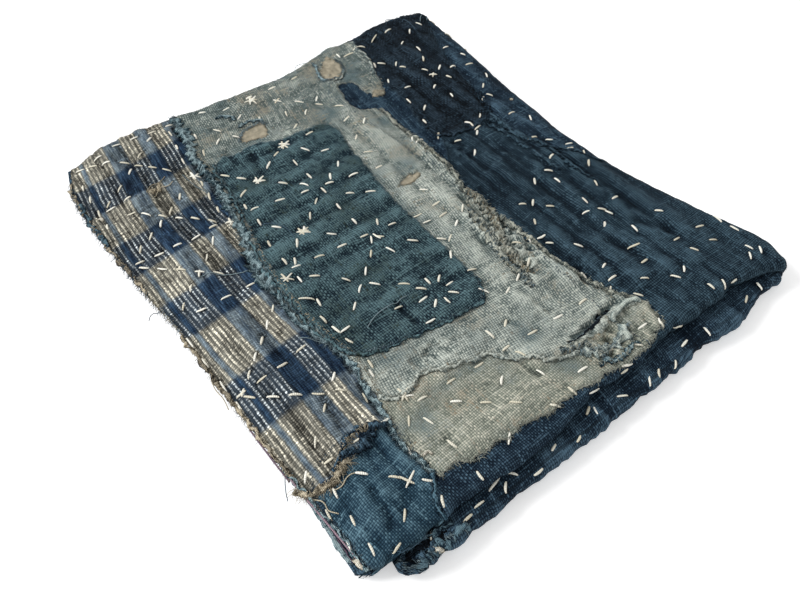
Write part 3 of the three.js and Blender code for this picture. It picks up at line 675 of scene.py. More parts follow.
def cut_outline(outline, ragged, seed):
    """Outline of a patch on the cloth, made ragged as torn and worn cloth is."""
    points = np.array(outline, float)
    points = resampled(cut_corners(points, np.roll(points, -1, axis=0)), CUT_STEP)
    points = resampled(np.stack(sighted(*points.T), 1), CUT_STEP)
    ahead = np.roll(points, -1, axis=0) - np.roll(points, 1, axis=0)
    outward = right_of(ahead) / np.maximum(np.hypot(*ahead.T), 1e-6)[:, None]
    at = np.arange(len(points)) * CUT_STEP
    shift = fractal(at / CUT_FEATURE, np.full(len(points), 0.5), seed, 2) * ragged * RAGGED_REACH
    return np.stack(kept_on_sheet(*(points + outward * shift[:, None]).T), 1)


# Relief of the cloth

def halves(angles, lengths):
    """Steps from the middle of each stitch to its end, for angles in degrees."""
    turn = np.radians(angles)
    return np.stack((np.cos(turn), np.sin(turn)), 1) * lengths / 2


def stitch_ends():
    """Both ends of every stitch that was read from the plan, as cloth places."""
    rng = np.random.default_rng(STITCH_SEED)
    marks = [(x, y, angle, STITCH_LENGTH) for x, y, angle in STITCHES] + list(ODD_STITCHES)
    for x0, y0, x1, y1, count, angle in STITCH_ROWS:
        for share in np.linspace(0, 1, count):
            marks.append((mix(x0, x1, share), mix(y0, y1, share), angle, STITCH_LENGTH))
    for x, y, arms in STARS:
        for k in range(arms):
            off_x, off_y = STAR_SPREAD * math.cos(STAR_STEP * k), STAR_SPREAD * math.sin(STAR_STEP * k)
            marks.append((x + off_x, y + off_y, STAR_TURN + 180 * k / arms, STAR_LENGTH))
    marks = np.array(marks)
    marks[:, 2] += rng.uniform(-STITCH_STRAY, STITCH_STRAY, len(marks))
    stray = rng.uniform(*STITCH_SHARES, len(marks))
    marks[:, 3] *= stray * np.where(marks[:, 0] > SHORTER_X, SHORTER_SHARE, 1)
    half = halves(marks[:, 2], marks[:, 3:])
    first = np.stack(sighted(*(marks[:, :2] - half).T), 1)
    last = np.stack(sighted(*(marks[:, :2] + half).T), 1)
    return np.stack((first, last), 1)


# Wrinkles charted as noise: sizes along x and y in millimetres, seed, and how many layers are added up.
WRINKLES = {
    "uneven": (16, 16, 131, 2), "rolls": (5.0, 55, 171, 2), "waves_across": (15, 8, 101, 2),
    "waves_along": (9, 24, 105, 2), "fine": (5.2, 3.8, 111, 2), "sharp_across": (26, 7, 161, 3),
    "sharp_along": (8, 30, 151, 3),
}
# The cloths on the left and right are wrinkled along y: where each ends or starts, and over what width.
LEFT_END = 50
LEFT_WIDTH = 8
LEFT_RIDGES_END = 52
ROLLS_WIDTH = 6
RIGHT_START = 146
RIGHT_WIDTH = 14
ALONG_START = 134
ALONG_WIDTH = 12
# Heights in millimetres. Ridges are given as shares: everywhere, more on the left and more on the right.
# Sharp wrinkles are given everywhere, more on the right and more on the left.
RIDGE_UNEVEN = (0.55, 0.75)
RIDGE_SHARES = (1.15, 0.65, 0.45)
ROLL_HEIGHT = 1.3
WAVE_HEIGHT = 0.95
FINE_HEIGHT = 0.34
SHARP_DEPTHS = (0.3, 0.3, 0.6)
SHARP_NARROW = 6
# The soft swelling beside the spine: centre x, centre y, reach along x, reach along y, rise.
SPINE_SWELL = (246, 228, 16, 62, 1.3)
# Crumples: sizes along x and y, how narrow they are, their lowest level and the level of plain cloth.
CRUMPLE_SIZES = (4.2, 3.4)
CRUMPLE_NARROW = 2.8
CRUMPLE_GAIN = 1.3
CRUMPLE_LOW = -0.6
CRUMPLE_LEVEL = 0.25
CRUMPLE_CORE = 0.1
CREASE_GAIN = 1.2
# The dimple round a stitch, and the cells of the grid that it reaches past the stitch.
DIMPLE_REACH = 2.3
DIMPLE_DEPTH = 0.6
DIMPLE_MIDDLE = 0.85
DIMPLE_NARROW = 2
DIMPLE_CELLS = 8


def wrinkled(kind):
    """One kind of wrinkles on the whole grid."""
    size_x, size_y, seed, octaves = WRINKLES[kind]
    return fractal(GRID_A / size_x, GRID_B / size_y, seed, octaves)


def dimples_at(ends):
    """How strongly the stitches pull the cloth down over the whole grid, from 0 to 1."""
    dimples = np.zeros_like(GRID_A)
    for (a0, b0), (a1, b1) in ends:
        low, high = np.minimum((a0, b0), (a1, b1)), np.maximum((a0, b0), (a1, b1))
        i0, j0 = ((low - GRID_LOW) / GRID_STEP - DIMPLE_CELLS).astype(int).clip(0)
        i1, j1 = ((high - GRID_LOW) / GRID_STEP + DIMPLE_CELLS + 1).astype(int)
        window = slice(i0, i1), slice(j0, j1)
        a, b = GRID_A[window], GRID_B[window]
        length2 = (a1 - a0) ** 2 + (b1 - b0) ** 2
        share = np.clip(((a - a0) * (a1 - a0) + (b - b0) * (b1 - b0)) / length2, 0, 1)
        off = np.hypot(a - a0 - share * (a1 - a0), b - b0 - share * (b1 - b0))
        pull = DIMPLE_MIDDLE + (1 - DIMPLE_MIDDLE) * np.abs(2 * share - 1)
        near = pull * np.exp(-(off / DIMPLE_REACH) ** 2 * DIMPLE_NARROW)
        dimples[window] = np.maximum(dimples[window], near)
    return dimples


def make_relief(ends):
    """Height of the cloth's own wrinkles, creases, crumples and stitch dimples over the plain quilting."""
    a, b = GRID_A, GRID_B
    on_left = smooth((LEFT_END - a) / LEFT_WIDTH)
    on_right = smooth((a - RIGHT_START) / RIGHT_WIDTH)
    uneven = RIDGE_UNEVEN[0] + RIDGE_UNEVEN[1] * wrinkled("uneven")
    everywhere, more_left, more_right = RIDGE_SHARES
    ridge_share = everywhere + more_left * (a < LEFT_RIDGES_END) + more_right * on_right
    height = ridges_at(a, b) * uneven * ridge_share
    height += ROLL_HEIGHT * smooth((LEFT_END - a) / ROLLS_WIDTH) * wrinkled("rolls")
    forward = np.clip(smooth((a - ALONG_START) / ALONG_WIDTH) + on_left, 0, 1)
    height += WAVE_HEIGHT * mix(wrinkled("waves_across"), wrinkled("waves_along"), forward)
    height += FINE_HEIGHT * wrinkled("fine")
    cx, cy, reach_x, reach_y, rise = SPINE_SWELL
    height += rise * smooth(1 - np.abs(a - cx) / reach_x) * smooth(1 - np.abs(b - cy) / reach_y)
    lines = mix(wrinkled("sharp_across"), wrinkled("sharp_along"), forward)
    everywhere, more_right, more_left = SHARP_DEPTHS
    sharp = everywhere + more_right * on_right + more_left * on_left
    height -= sharp * np.clip(1 - np.abs(lines) * SHARP_NARROW, 0, 1)
    for cx, cy, reach_x, reach_y, rise in CRUMPLES:
        near = 1 - smooth(np.hypot((a - cx) / reach_x, (b - cy) / reach_y) - CRUMPLE_CORE)
        crumpled = fractal(a / CRUMPLE_SIZES[0], b / CRUMPLE_SIZES[1], int(cx * 7 + cy), 2)
        folds = np.clip(1 - np.abs(crumpled) * CRUMPLE_NARROW, CRUMPLE_LOW, 1)
        height += near * rise * CRUMPLE_GAIN * (folds - CRUMPLE_LEVEL)
    for x0, y0, x1, y1, width, depth in CREASES:
        height -= depth * CREASE_GAIN * line_profile(a, b, x0, y0, x1, y1, width)
    return height - DIMPLE_DEPTH * dimples_at(ends)


# Meshes

PLAN_CENTRE = np.array((122.318, 140.192, 0.0))


def framed(points):
    """Plan points in millimetres as points of the frame in metres."""
    return (points - PLAN_CENTRE) * MM


def make_object(name, points, faces, uv, values):
    """Mesh object from points in the frame and faces, with named UV places and values for each point."""
    mesh = bpy.data.meshes.new(name)
    counts = np.concatenate([np.full(len(f), f.shape[1]) for f in faces])
    corners = np.concatenate([f.ravel() for f in faces]).astype(np.int32)
    mesh.vertices.add(len(points))
    mesh.vertices.foreach_set("co", np.asarray(points, np.float32).ravel())
    mesh.loops.add(len(corners))
    mesh.loops.foreach_set("vertex_index", corners)
    mesh.polygons.add(len(counts))
    mesh.polygons.foreach_set("loop_start", (np.cumsum(counts) - counts).astype(np.int32))
    mesh.polygons.foreach_set("use_smooth", np.ones(len(counts), bool))
    mesh.update(calc_edges=True)
    mesh.validate()
    for key, value in uv.items():
        layer = mesh.uv_layers.new(name=key)
        layer.uv.foreach_set("vector", np.asarray(value, np.float32)[corners].ravel())
    for key, value in values.items():
        attribute = mesh.attributes.new(key, "FLOAT", "POINT")
        attribute.data.foreach_set("value", np.asarray(value, np.float32))
    piece = bpy.data.objects.new(name, mesh)
    bpy.context.scene.collection.objects.link(piece)
    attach(piece, BODY)
    return piece


def grain(a, b, turn):
    """Places on a cloth whose threads are turned by some degrees, in metres."""
    c, s = math.cos(math.radians(turn)), math.sin(math.radians(turn))
    return np.stack((a * c + b * s, b * c - a * s), -1) * MM


def quads(number):
    """Faces between the rows and columns of a grid of point numbers."""
    return np.stack((number[:-1, :-1], number[1:, :-1], number[1:, 1:], number[:-1, 1:]), -1).reshape(-1, 4)


def ring_of(number):
    """Point numbers all round a grid, with the first one again at the end."""
    return np.concatenate((number[:, 0], number[-1, 1:], number[-2::-1, -1], number[0, -2::-1]))


# Puckers on the front fold: height, sizes along and round the fold, seed, reach behind it and soft edge,
# and how strongly they are painted with shading, lighter on their tops and darker between them.
PUCKER = 2.1
PUCKER_SIZES = (4.6, 16)
PUCKER_SEED = 141
PUCKER_REACH = 9.0
PUCKER_SOFT = 6
PUCKER_SHADING = 0.36
# The bulge of the lower pair behind its front fold: height, turn, reach, soft edge, start and width in x.
LOWER_PUFF = 2.0
LOWER_PUFF_TURN = 1.4
LOWER_PUFF_REACH = 12.0
LOWER_PUFF_SOFT = 8
LOWER_PUFF_X = 19
LOWER_PUFF_WIDTH = 9
# The rounded near left corner of the lower pair: shift, and its start and reach along y and along x.
CORNER_ROUND = 3.6
ROUND_Y = -3.4
ROUND_DEPTH = 5.6
ROUND_MOST = 1.1
ROUND_X = 15
ROUND_WIDTH = 16
# Lines across the sheet and along it: over the near layer, round the fold and over the far layer.
BODY_COLUMNS = (204, 12, 84)
BODY_ROWS = (224, 12, 18)
BODY_TURN = 2
EDGE_WEAR = 2.6
# Level of the painted shading on cloth that is neither on a fold's top nor in a hollow.
LEVEL = 0.5


def sheet_lines(flat, bend, far):
    """Turns and shares of lines across the sheet: over the near layer, round the fold, over the far one."""
    turns = np.concatenate((np.full(flat, -1.0), np.linspace(-1, 1, bend + 1), np.full(far, 1.0)))
    near_shares, far_shares = np.linspace(0, 1, flat + 1)[:-1], np.linspace(1, 0, far + 1)[1:]
    return turns, np.concatenate((near_shares, np.ones(bend + 1), far_shares))


def lower_puff(x, turn, deep):
    """How much the top of the lower pair bulges behind its front fold."""
    near = smooth(-turn * LOWER_PUFF_TURN)
    return (LOWER_PUFF * near * smooth((LOWER_PUFF_REACH - deep) / LOWER_PUFF_SOFT)
            * smooth((x - LOWER_PUFF_X) / LOWER_PUFF_WIDTH))


def rounded_corner(points):
    """Points of the lower pair with its near left corner rounded."""
    x, y = points[..., 0], points[..., 1]
    low = np.clip((ROUND_Y - y) / ROUND_DEPTH, 0, ROUND_MOST)
    shift = CORNER_ROUND * low ** 2 * (1 - smooth((x - ROUND_X) / ROUND_WIDTH))
    return points + np.stack((shift, 0 * shift, 0 * shift), -1)


def make_body(relief, shading_map):
    """The folded sheet itself, with both faces and its rim."""
    col_turn, col_share = sheet_lines(*BODY_COLUMNS)
    row_turn, row_share = sheet_lines(*BODY_ROWS)
    turn_c, turn_r = np.meshgrid(col_turn, -row_turn, indexing="ij")
    share_c, share_r = np.meshgrid(col_share, 1 - row_share, indexing="ij")
    flat = fold(turn_c, share_c, turn_r, share_r, 1.0)
    spine_x = along(SPINE, share_r * STACK_DEPTH)
    a = np.where(turn_c <= -1, flat[..., 0], spine_x + (turn_c + 1) * SPINE_RADIUS * QUARTER)
    b = np.where(turn_r >= 1, flat[..., 1], along(UPPER_FOLD, np.clip(share_c, 0, 1) * STACK_WIDTH)
                 + FOLD_RADIUS * (1 - (1 - turn_r) * QUARTER))
    seen = smooth((1 - turn_c) / 2 * 3) * smooth(turn_r + 1)
    height = sampled(relief, a, b) * seen
    around = turn_r * FOLD_RADIUS * QUARTER
    size_x, size_around = PUCKER_SIZES
    puckers = PUCKER * fractal(flat[..., 0] / size_x, around / size_around + turn_c, PUCKER_SEED, 3)
    front = smooth((turn_c + 0.2) * 2) * smooth((PUCKER_REACH - share_r * STACK_DEPTH) / PUCKER_SOFT)
    puffed = lower_puff(flat[..., 0], turn_r, share_r * STACK_DEPTH)
    height = height + front * (puckers * smooth((1 - turn_r) * 2) + puffed)
    outer = fold(turn_c, share_c, turn_r, share_r, 1.0, height)
    inner = fold(turn_c, share_c, turn_r, share_r, -1.0)
    is_lower = (turn_c >= 1)[..., None]
    outer = np.where(is_lower, rounded_corner(outer), outer)
    inner = np.where(is_lower, rounded_corner(inner), inner)[::2, ::2]
    columns, rows = outer.shape[:2]
    number = np.arange(columns * rows).reshape(columns, rows)
    coarse = np.arange(inner.shape[0] * inner.shape[1]).reshape(inner.shape[:2]) + number.size
    ring, inner_ring = ring_of(number), ring_of(coarse)
    first, middle, last = ring[:-2:2], ring[1:-1:2], ring[2::2]
    low, high = inner_ring[:-1], inner_ring[1:]
    rim = np.concatenate((np.stack((first, low, middle), 1), np.stack((middle, low, high), 1),
                          np.stack((middle, high, last), 1)))
    points = np.concatenate((outer.reshape(-1, 3), inner.reshape(-1, 3)))
    cloth_a = np.where(turn_c >= 1, 2 * spine_x + 2 * SPINE_RADIUS * QUARTER - flat[..., 0], a)
    cloth_b = np.where(turn_r <= -1, -flat[..., 1], b)
    uv = grain(cloth_a, cloth_b, BODY_TURN)
    uv = {"cloth": np.concatenate((uv.reshape(-1, 2), uv[::2, ::2].reshape(-1, 2)))}
    edge_gap = np.minimum(share_c * STACK_WIDTH, (1 - share_r) * STACK_DEPTH)
    worn = np.clip(1 - edge_gap / EDGE_WEAR, 0, 1)
    # Painted shading: shade in hollows and highlight on folds where the top shows, and shade and highlight of
    # the puckers on the front folds.
    painted_shading = sampled(shading_map, a, b) * seen + (LEVEL + PUCKER_SHADING * front * puckers) * (1 - seen)
    values = {"worn": np.concatenate((worn.ravel(), worn[::2, ::2].ravel())),
              "painted_shading": np.concatenate((painted_shading.ravel(), LEVEL + 0 * painted_shading[::2, ::2].ravel()))}
    faces = [quads(number), quads(coarse)[:, ::-1], rim]
    return make_object("cloth_body", framed(points), faces, uv, values)


# Painted shade in hollows and painted highlight on the tops of folds are found against the relief blurred in
# so many rounds, at these gains: wide ones, small ones.
WIDE_SHADING = (60, 0.27)
SMALL_SHADING = (6, 0.2)


def hollows(relief):
    """Painted shading: 1 for painted highlight on the tops of folds and 0 for painted shade in hollows, with
    level cloth between.
    """
    total = relief + ridges_at(GRID_A, GRID_B)
    level = LEVEL
    for rounds, gain in (WIDE_SHADING, SMALL_SHADING):
        level = level + gain * (total - blurred(total, rounds))
    return np.clip(level, 0, 1)


# How far the stripes of the striped cloth stray to the right, by their distance from the front.
STRIPE_SKEW = ((0, 8.0), (40, 8.0), (50, 7.2), (70, 6.2), (85, 6.0), (100, 5.0), (120, 2.7), (150, 0.3),
               (175, -0.5), (190, -1.5), (200, -2.5), (230, -1.7), (250, 0.0), (262, 1.2), (270, 2.0),
               (290, 4.0), (300, 5.0))
PATCH_STEP = 1.15
PATCH_CLEAR = 0.08
# Rows of points in a patch: their distance as a share of the step, how far points stray, how far they stay
# off the outline; and how much of its thickness a patch loses at its edge.
PATCH_ROW = 0.87
PATCH_STRAY = 0.12
PATCH_MARGIN = 0.6
EDGE_LOSS = 0.45


def make_patch(name, outline, thickness, lift_map, relief, shading_map, turn):
    """A thin closed patch on the layers below it."""
    low, high = outline.min(0), outline.max(0)
    rng = np.random.default_rng(len(outline))
    rows = np.arange(low[1], high[1], PATCH_STEP * PATCH_ROW)
    inner = []
    for k, y in enumerate(rows):
        x = np.arange(low[0] + (k % 2) * PATCH_STEP / 2, high[0], PATCH_STEP)
        inner.append(np.stack((x, np.full(len(x), y)), 1))
    inner = np.concatenate(inner)
    inner += rng.uniform(-PATCH_STRAY, PATCH_STRAY, inner.shape)
    clear = np.ones(len(inner), bool)
    for shift in ((1, 0), (-1, 0), (0, 1), (0, -1)):
        clear &= inside(outline, *(inner + PATCH_MARGIN * np.array(shift)).T)
    inner = inner[clear]
    count = len(outline)
    flat = [Vector(p) for p in np.concatenate((outline, inner))]
    border = [(k, (k + 1) % count) for k in range(count)]
    verts, _, tris, _, _, _ = delaunay_2d_cdt(flat, border, [], 1, 1e-4)
    places = np.array([tuple(v) for v in verts])
    tris = np.array(tris)
    directed = np.concatenate((tris[:, :2], tris[:, 1:], tris[:, [2, 0]]))
    _, first, counts = np.unique(np.sort(directed, axis=1), axis=0, return_index=True, return_counts=True)
    rim_edges = directed[first[counts == 1]]
    a, b = places.T
    base = sampled(lift_map, a, b) + sampled(relief, a, b)
    on_rim = np.zeros(len(places))
    on_rim[rim_edges.ravel()] = 1
    top = on_top(a, b, base + PATCH_CLEAR + thickness * (1 - EDGE_LOSS * on_rim))
    bottom = on_top(a, b, base + PATCH_CLEAR * (1 - on_rim))
    n = len(places)
    rim = np.stack((rim_edges[:, 1], rim_edges[:, 0], rim_edges[:, 0] + n, rim_edges[:, 1] + n), 1)
    # Painted shading of the relief: shade in hollows and highlight on the tops of folds.
    painted_shading = sampled(shading_map, a, b)
    values = {"painted_shading": np.tile(painted_shading, 2), "worn": np.tile(on_rim, 2)}
    seen = seen_on_plane(top)
    seen[:, 0] -= along(STRIPE_SKEW, seen[:, 1])
    uv = {"cloth": np.tile(grain(a, b, turn), (2, 1)), "stripes": np.tile(seen * MM, (2, 1))}
    points = framed(np.concatenate((top, bottom)))
    piece = make_object(name, points, [tris, tris[:, ::-1] + n, rim], uv, values)
    corners = places[tris]
    area = abs(np.cross(corners[:, 1] - corners[:, 0], corners[:, 2] - corners[:, 0])).sum() / 2
    return piece, (high - low) * MM, area * MM * MM


# Stitches and loose threads

# A stitch: how high it stands over the cloth at shares of its length, how far it bows aside, how its width
# varies and swells, and how flat and how straight it is.
STITCH_LIFTS = ((0.0, -0.3), (0.06, 0.08), (0.2, 0.22), (0.5, 0.24), (0.8, 0.22), (0.94, 0.08), (1.0, -0.3))
STITCH_BOW = 0.16
STITCH_WIDTHS = (0.85, 1.12)
STITCH_SWELL = 0.7
STITCH_FLAT = 0.62
STITCH_STRAIGHT = 0.9
STITCH_SIDES = 8
STITCH_TURN_SEED = 5
# How far a straight thread spans the hollows under it, and how its fibres are charted along and round it.
SPAN_MOST = 0.8
FIBRE_RUN = 40
FIBRE_ROUND = 4


def tubes(paths, across, up, widths, heights, sides):
    """Points of tubes along many paths at once, from directions across and up, and half sizes that way."""
    angle = np.arange(sides) * 2 * math.pi / sides
    ring = (across[:, :, None] * np.cos(angle)[:, None] * widths[:, :, None, None]
            + up[:, :, None] * np.sin(angle)[:, None] * heights[:, :, None, None])
    return paths[:, :, None] + ring


def tube_faces(count, rings, sides):
    """Walls and end caps of many tubes at once."""
    number = np.arange(count * rings * sides).reshape(count, rings, sides)
    around = np.roll(number, -1, axis=2)
    walls = np.stack((number[:, :-1], around[:, :-1], around[:, 1:], number[:, 1:]), -1).reshape(-1, 4)
    caps = np.concatenate((number[:, 0, ::-1], number[:, -1]))
    return [walls, caps]


def unit(vectors):
    return vectors / np.maximum(np.linalg.norm(vectors, axis=-1, keepdims=True), 1e-9)


def make_tubes(name, places, lifts, widths, flatness, surface, sides, seed, where=on_top, straight=0.0):
    """One mesh of n threads over the cloth, with n x k x 2 places on it and n x k lifts and widths."""
    a, b = places[..., 0], places[..., 1]
    base = surface(a, b)
    share = np.linspace(0, 1, a.shape[1])
    chord = mix(base[:, :1], base[:, -1:], share)
    rise = np.clip(base - chord, 0, SPAN_MOST).max(1, keepdims=True) * np.minimum(1, 6 * share * (1 - share))
    base = mix(base, chord + SPAN_MOST * rise, straight)
    middle = where(a, b, base + lifts)
    up = unit(where(a, b, base + lifts + 1) - middle)
    forward = unit(np.gradient(middle, axis=1))
    across = unit(np.cross(forward, up))
    up = unit(np.cross(across, forward))
    rings = tubes(middle, across, up, widths / 2, widths * flatness / 2, sides)
    count, k = a.shape
    steps = np.linalg.norm(np.diff(middle, axis=1), axis=-1)
    length = np.concatenate((np.zeros((count, 1)), np.cumsum(steps, axis=1)), 1)
    rng = np.random.default_rng(seed)
    offset = rng.uniform(0, 1, (count, 1))
    uv = np.stack(np.broadcast_arrays((length + offset * FIBRE_RUN)[:, :, None] * MM,
                                      (np.arange(sides) / sides * FIBRE_ROUND)[None, None] * MM), -1)
    tint = np.broadcast_to(offset[:, :, None], uv.shape[:3]).ravel()
    points = rings.reshape(-1, 3)
    uv = {"cloth": uv.reshape(-1, 2)}
    return make_object(name, framed(points), tube_faces(count, k, sides), uv, {"tint": tint})


def stitch_tubes(name, ends, surface, where=on_top):
    """Stitches between pairs of places."""
    rng = np.random.default_rng(len(ends))
    share, lift = np.array(STITCH_LIFTS).T
    places = ends[:, :1] + (ends[:, 1:] - ends[:, :1]) * share[None, :, None]
    bow = rng.normal(0, STITCH_BOW, (len(ends), 1)) * np.sin(share * math.pi)
    along_stitch = unit(ends[:, 1] - ends[:, 0])
    places = places - bow[..., None] * right_of(along_stitch)[:, None]
    size = rng.uniform(*STITCH_WIDTHS, (len(ends), 1))
    widths = STITCH_WIDTH * size * (0.5 + 0.5 * np.sin(share * math.pi) ** STITCH_SWELL)
    lifts = np.broadcast_to(lift, widths.shape)
    return make_tubes(name, places, lifts, widths, STITCH_FLAT, surface, STITCH_SIDES, STITCH_TURN_SEED,
                      where, STITCH_STRAIGHT)


# The front fold of the lower pair: how far round it places are sighted, in how many steps, and their lift.
LOWER_FRONT_REACH = (-3.0, 12.0)
LOWER_FRONT_STEPS = 61
LOWER_FRONT_LIFT = 0.4
# The first row of a layer behind its front fold, as a share of its depth.
FIRST_ROW = 0.001


def on_lower_front(x, around, lift):
    """Point on the front fold of the lower pair: x along it, millimetres around it from its front line up."""
    low, high = LOW_LEFT_EDGE[0][1], SPINE[0][1]
    share = np.clip((x - low) / (high - low), 0, 1)
    around = np.asarray(around, float)
    turn = -around / (FOLD_RADIUS * QUARTER)
    deep = np.maximum(around - FOLD_RADIUS * QUARTER, 0) / STACK_DEPTH + 0 * share
    puffed = lower_puff(x, turn, deep * STACK_DEPTH)
    return rounded_corner(fold(np.ones_like(share), share, np.clip(turn, -1, 1) + 0 * share, deep, 1.0,
                               lift + puffed))


def on_underside(x, y, lift):
    """Point on the face that the stack lies on."""
    low, high = along(LOW_LEFT_EDGE, y), along(SPINE, y)
    share = np.clip((x - low) / (high - low), 0, 1)
    front = along(LOWER_FOLD, share * STACK_WIDTH) + FOLD_RADIUS
    deep = np.clip((y - front) / (along(BACK_EDGE, share * STACK_WIDTH) - front), FIRST_ROW, 1)
    return fold(np.ones_like(share), share, np.ones_like(share), deep, 1.0, lift)


def on_hidden_edge(inset, y, lift):
    """Point on the layer that shows beside the near left corner, by its distance from that layer's edge."""
    share = np.asarray(inset) / STACK_WIDTH
    level = np.ones_like(share)
    return fold(-level, share, -level, np.clip(y / STACK_DEPTH, FIRST_ROW, 1), -1.0, -lift)


def sighted_on_lower_front(x, y):
    """Places on the lower front fold, in its own two measures, of plan places read on the reading plane."""
    around = np.linspace(*LOWER_FRONT_REACH, LOWER_FRONT_STEPS)[:, None]
    place = np.broadcast_to(x, (LOWER_FRONT_STEPS, len(x))).copy()
    for _ in range(LOWER_SIGHT_ROUNDS):
        seen = seen_on_plane(on_lower_front(place, around, LOWER_FRONT_LIFT))
        place += x - seen[..., 0]
    best = np.abs(seen[..., 1] - y).argmin(0)
    return np.stack((place[best, np.arange(len(x))], around[best, 0]), 1)


# A crumpled strip: step along it, points across it and thickness. Its edges: share of the width, how far
# they wander and the size of that, and the least share. Its line: how far it wanders, the size of that and
# the row of the noise. Its folds: how narrow they are, and their sizes along and across. Then how round it
# is, how high where smooth and where crumpled, and how much of its rise the underside follows.
STRIP_STEP = 0.55
STRIP_COLUMNS = 9
STRIP_THICKNESS = 0.3
STRIP_EDGES = (0.5, 0.75, 1.7)
STRIP_NARROWEST = 0.12
STRIP_WANDER = (0.8, 3.1, 7.3)
STRIP_FOLDS = (2.2, 2.0, 1.6)
STRIP_ROUND = 0.4
STRIP_SMOOTH = 0.9
STRIP_CREST = (0.3, 0.7)
STRIP_UNDER = 0.6
STRIP_LIFT = 0.1
STRIP_WORN = 0.4
# Painted shading of a strip: how fast it lightens towards the crest, with painted shade at its low edges.
STRIP_TOP = 1.1


def strip(name, line, width, height, surface, seed, where=on_top, crumple=1.0):
    """A narrow crumpled strip that follows an open line on the cloth; most are frayed cloth, and those in the
    near-black cloth are painted shadow.
    """
    phase = seed * 3.7
    points = resampled(line, STRIP_STEP, closed=False)
    side = right_of(unit(np.gradient(points, axis=0)))
    at = np.arange(len(points)) * STRIP_STEP
    across = np.linspace(-0.5, 0.5, STRIP_COLUMNS)
    middle, wander, size = STRIP_EDGES
    edges = [width * np.maximum(middle + wander * crumple * fractal(at / size, at * 0 + phase + k, seed, 2),
                                STRIP_NARROWEST) for k in (0, 9)]
    wander, size, row = STRIP_WANDER
    shift = wander * crumple * noise(at / size, at * 0 + row, seed)[:, None]
    spread = np.where(across < 0, edges[0][:, None], edges[1][:, None]) * across * 2 + shift
    places = points[:, None] + side[:, None] * spread[..., None]
    a, b = places[..., 0], places[..., 1]
    s_at, c_at = np.meshgrid(at, across * width, indexing="ij")
    bulge = np.clip(1 - (2 * across) ** 2, 0, 1) ** STRIP_ROUND
    narrow, size_along, size_across = STRIP_FOLDS
    folds = 1 - narrow * np.abs(fractal(s_at / size_along, c_at / size_across + phase, seed, 2))
    ends = smooth(np.minimum(at, at[-1] - at) / width + 0.2)[:, None]
    crest = mix(STRIP_SMOOTH, STRIP_CREST[0] + STRIP_CREST[1] * folds, crumple)
    rise = height * ends * bulge * np.clip(crest, 0, 1)
    base = surface(a, b) + STRIP_LIFT
    top = where(a, b, base + STRIP_THICKNESS + rise)
    bottom = where(a, b, base + rise * STRIP_UNDER)
    n = a.size
    number = np.arange(n).reshape(a.shape)
    ring = ring_of(number)[:-1]
    after = np.roll(ring, -1)
    facing = np.cross(top[1, 0] - top[0, 0], top[0, 1] - top[0, 0])[2]
    faces = [quads(number), quads(number)[:, ::-1] + n, np.stack((after, ring, ring + n, after + n), 1)]
    if facing < 0:
        faces = [f[:, ::-1] for f in faces]
    # Painted shading: lighter towards the crest of the strip, darker at its low edges.
    painted_shading = np.clip(rise / height * STRIP_TOP, 0, 1).ravel()
    uv = np.tile(np.stack((a, b), -1).reshape(-1, 2) * MM, (2, 1))
    values = {"painted_shading": np.tile(painted_shading, 2), "worn": np.full(2 * n, STRIP_WORN)}
    points = np.concatenate((top.reshape(-1, 3), bottom.reshape(-1, 3)))
    return make_object(name, framed(points), faces, {"cloth": uv}, values)


# Frayed threads: how far they start behind their line and beside their place, the shares of their length and
# width, and how far they wander, droop and taper.
FRAY_BEHIND = (0.2, 1.6)
FRAY_BESIDE = 0.3
FRAY_LENGTHS = (0.35, 1.25)
FRAY_WIDTHS = (0.7, 1.3)
FRAY_WANDER = 0.35
FRAY_WAVE = 0.3
FRAY_DROOP = 0.25
FRAY_TAPER = 0.55
FRAY_FLAT = 0.8
FRAY_SIDES = 3
# Single loose threads: lift, points along one, and how flat they are.
LOOSE_LIFT = 0.6
LOOSE_POINTS = 24
LOOSE_FLAT = 0.9
LOOSE_SIDES = 5
LOOSE_SEED = 9


def thread_run(rng, start, direction, length, count):
    """Places of loose threads that leave start along direction and wander to the side."""
    share = np.linspace(0, 1, count)
    bend = rng.normal(0, FRAY_WANDER, (len(start), 1)) * share**2
    wave = rng.normal(0, FRAY_WANDER * FRAY_WAVE, (len(start), 1))
    wave = wave * np.sin(share * 5 + rng.uniform(0, 6, (len(start), 1)))
    return (start[:, None] + direction[:, None] * (share * length[:, None])[..., None]
            - right_of(direction)[:, None] * ((bend + wave) * length[:, None])[..., None])


def fringe(name, line, spacing, length, width, surface, seed, lift=0.35, rise=0.5, spread=0.5, where=on_top,
           rings=5):
    """Frayed threads along an open line on the cloth, to the right of its direction."""
    rng = np.random.default_rng(seed)
    points = resampled(line, spacing, closed=False)
    outward = right_of(unit(np.gradient(points, axis=0)))
    turn = rng.normal(0, spread, len(points))
    c, s = np.cos(turn), np.sin(turn)
    outward = np.stack((outward[:, 0] * c - outward[:, 1] * s, outward[:, 0] * s + outward[:, 1] * c), -1)
    start = points - outward * rng.uniform(*FRAY_BEHIND, (len(points), 1))
    start = start + rng.normal(0, FRAY_BESIDE, points.shape)
    reach = length * rng.uniform(*FRAY_LENGTHS, len(points))
    places = thread_run(rng, start, outward, reach, rings)
    share = np.linspace(0, 1, rings)
    lifts = lift + rise * rng.uniform(0, 1, (len(points), 1)) * np.sin(share * math.pi) - FRAY_DROOP * share
    widths = width * rng.uniform(*FRAY_WIDTHS, (len(points), 1)) * (1 - FRAY_TAPER * share)
    return make_tubes(name, places, lifts, widths, FRAY_FLAT, surface, FRAY_SIDES, seed, where)


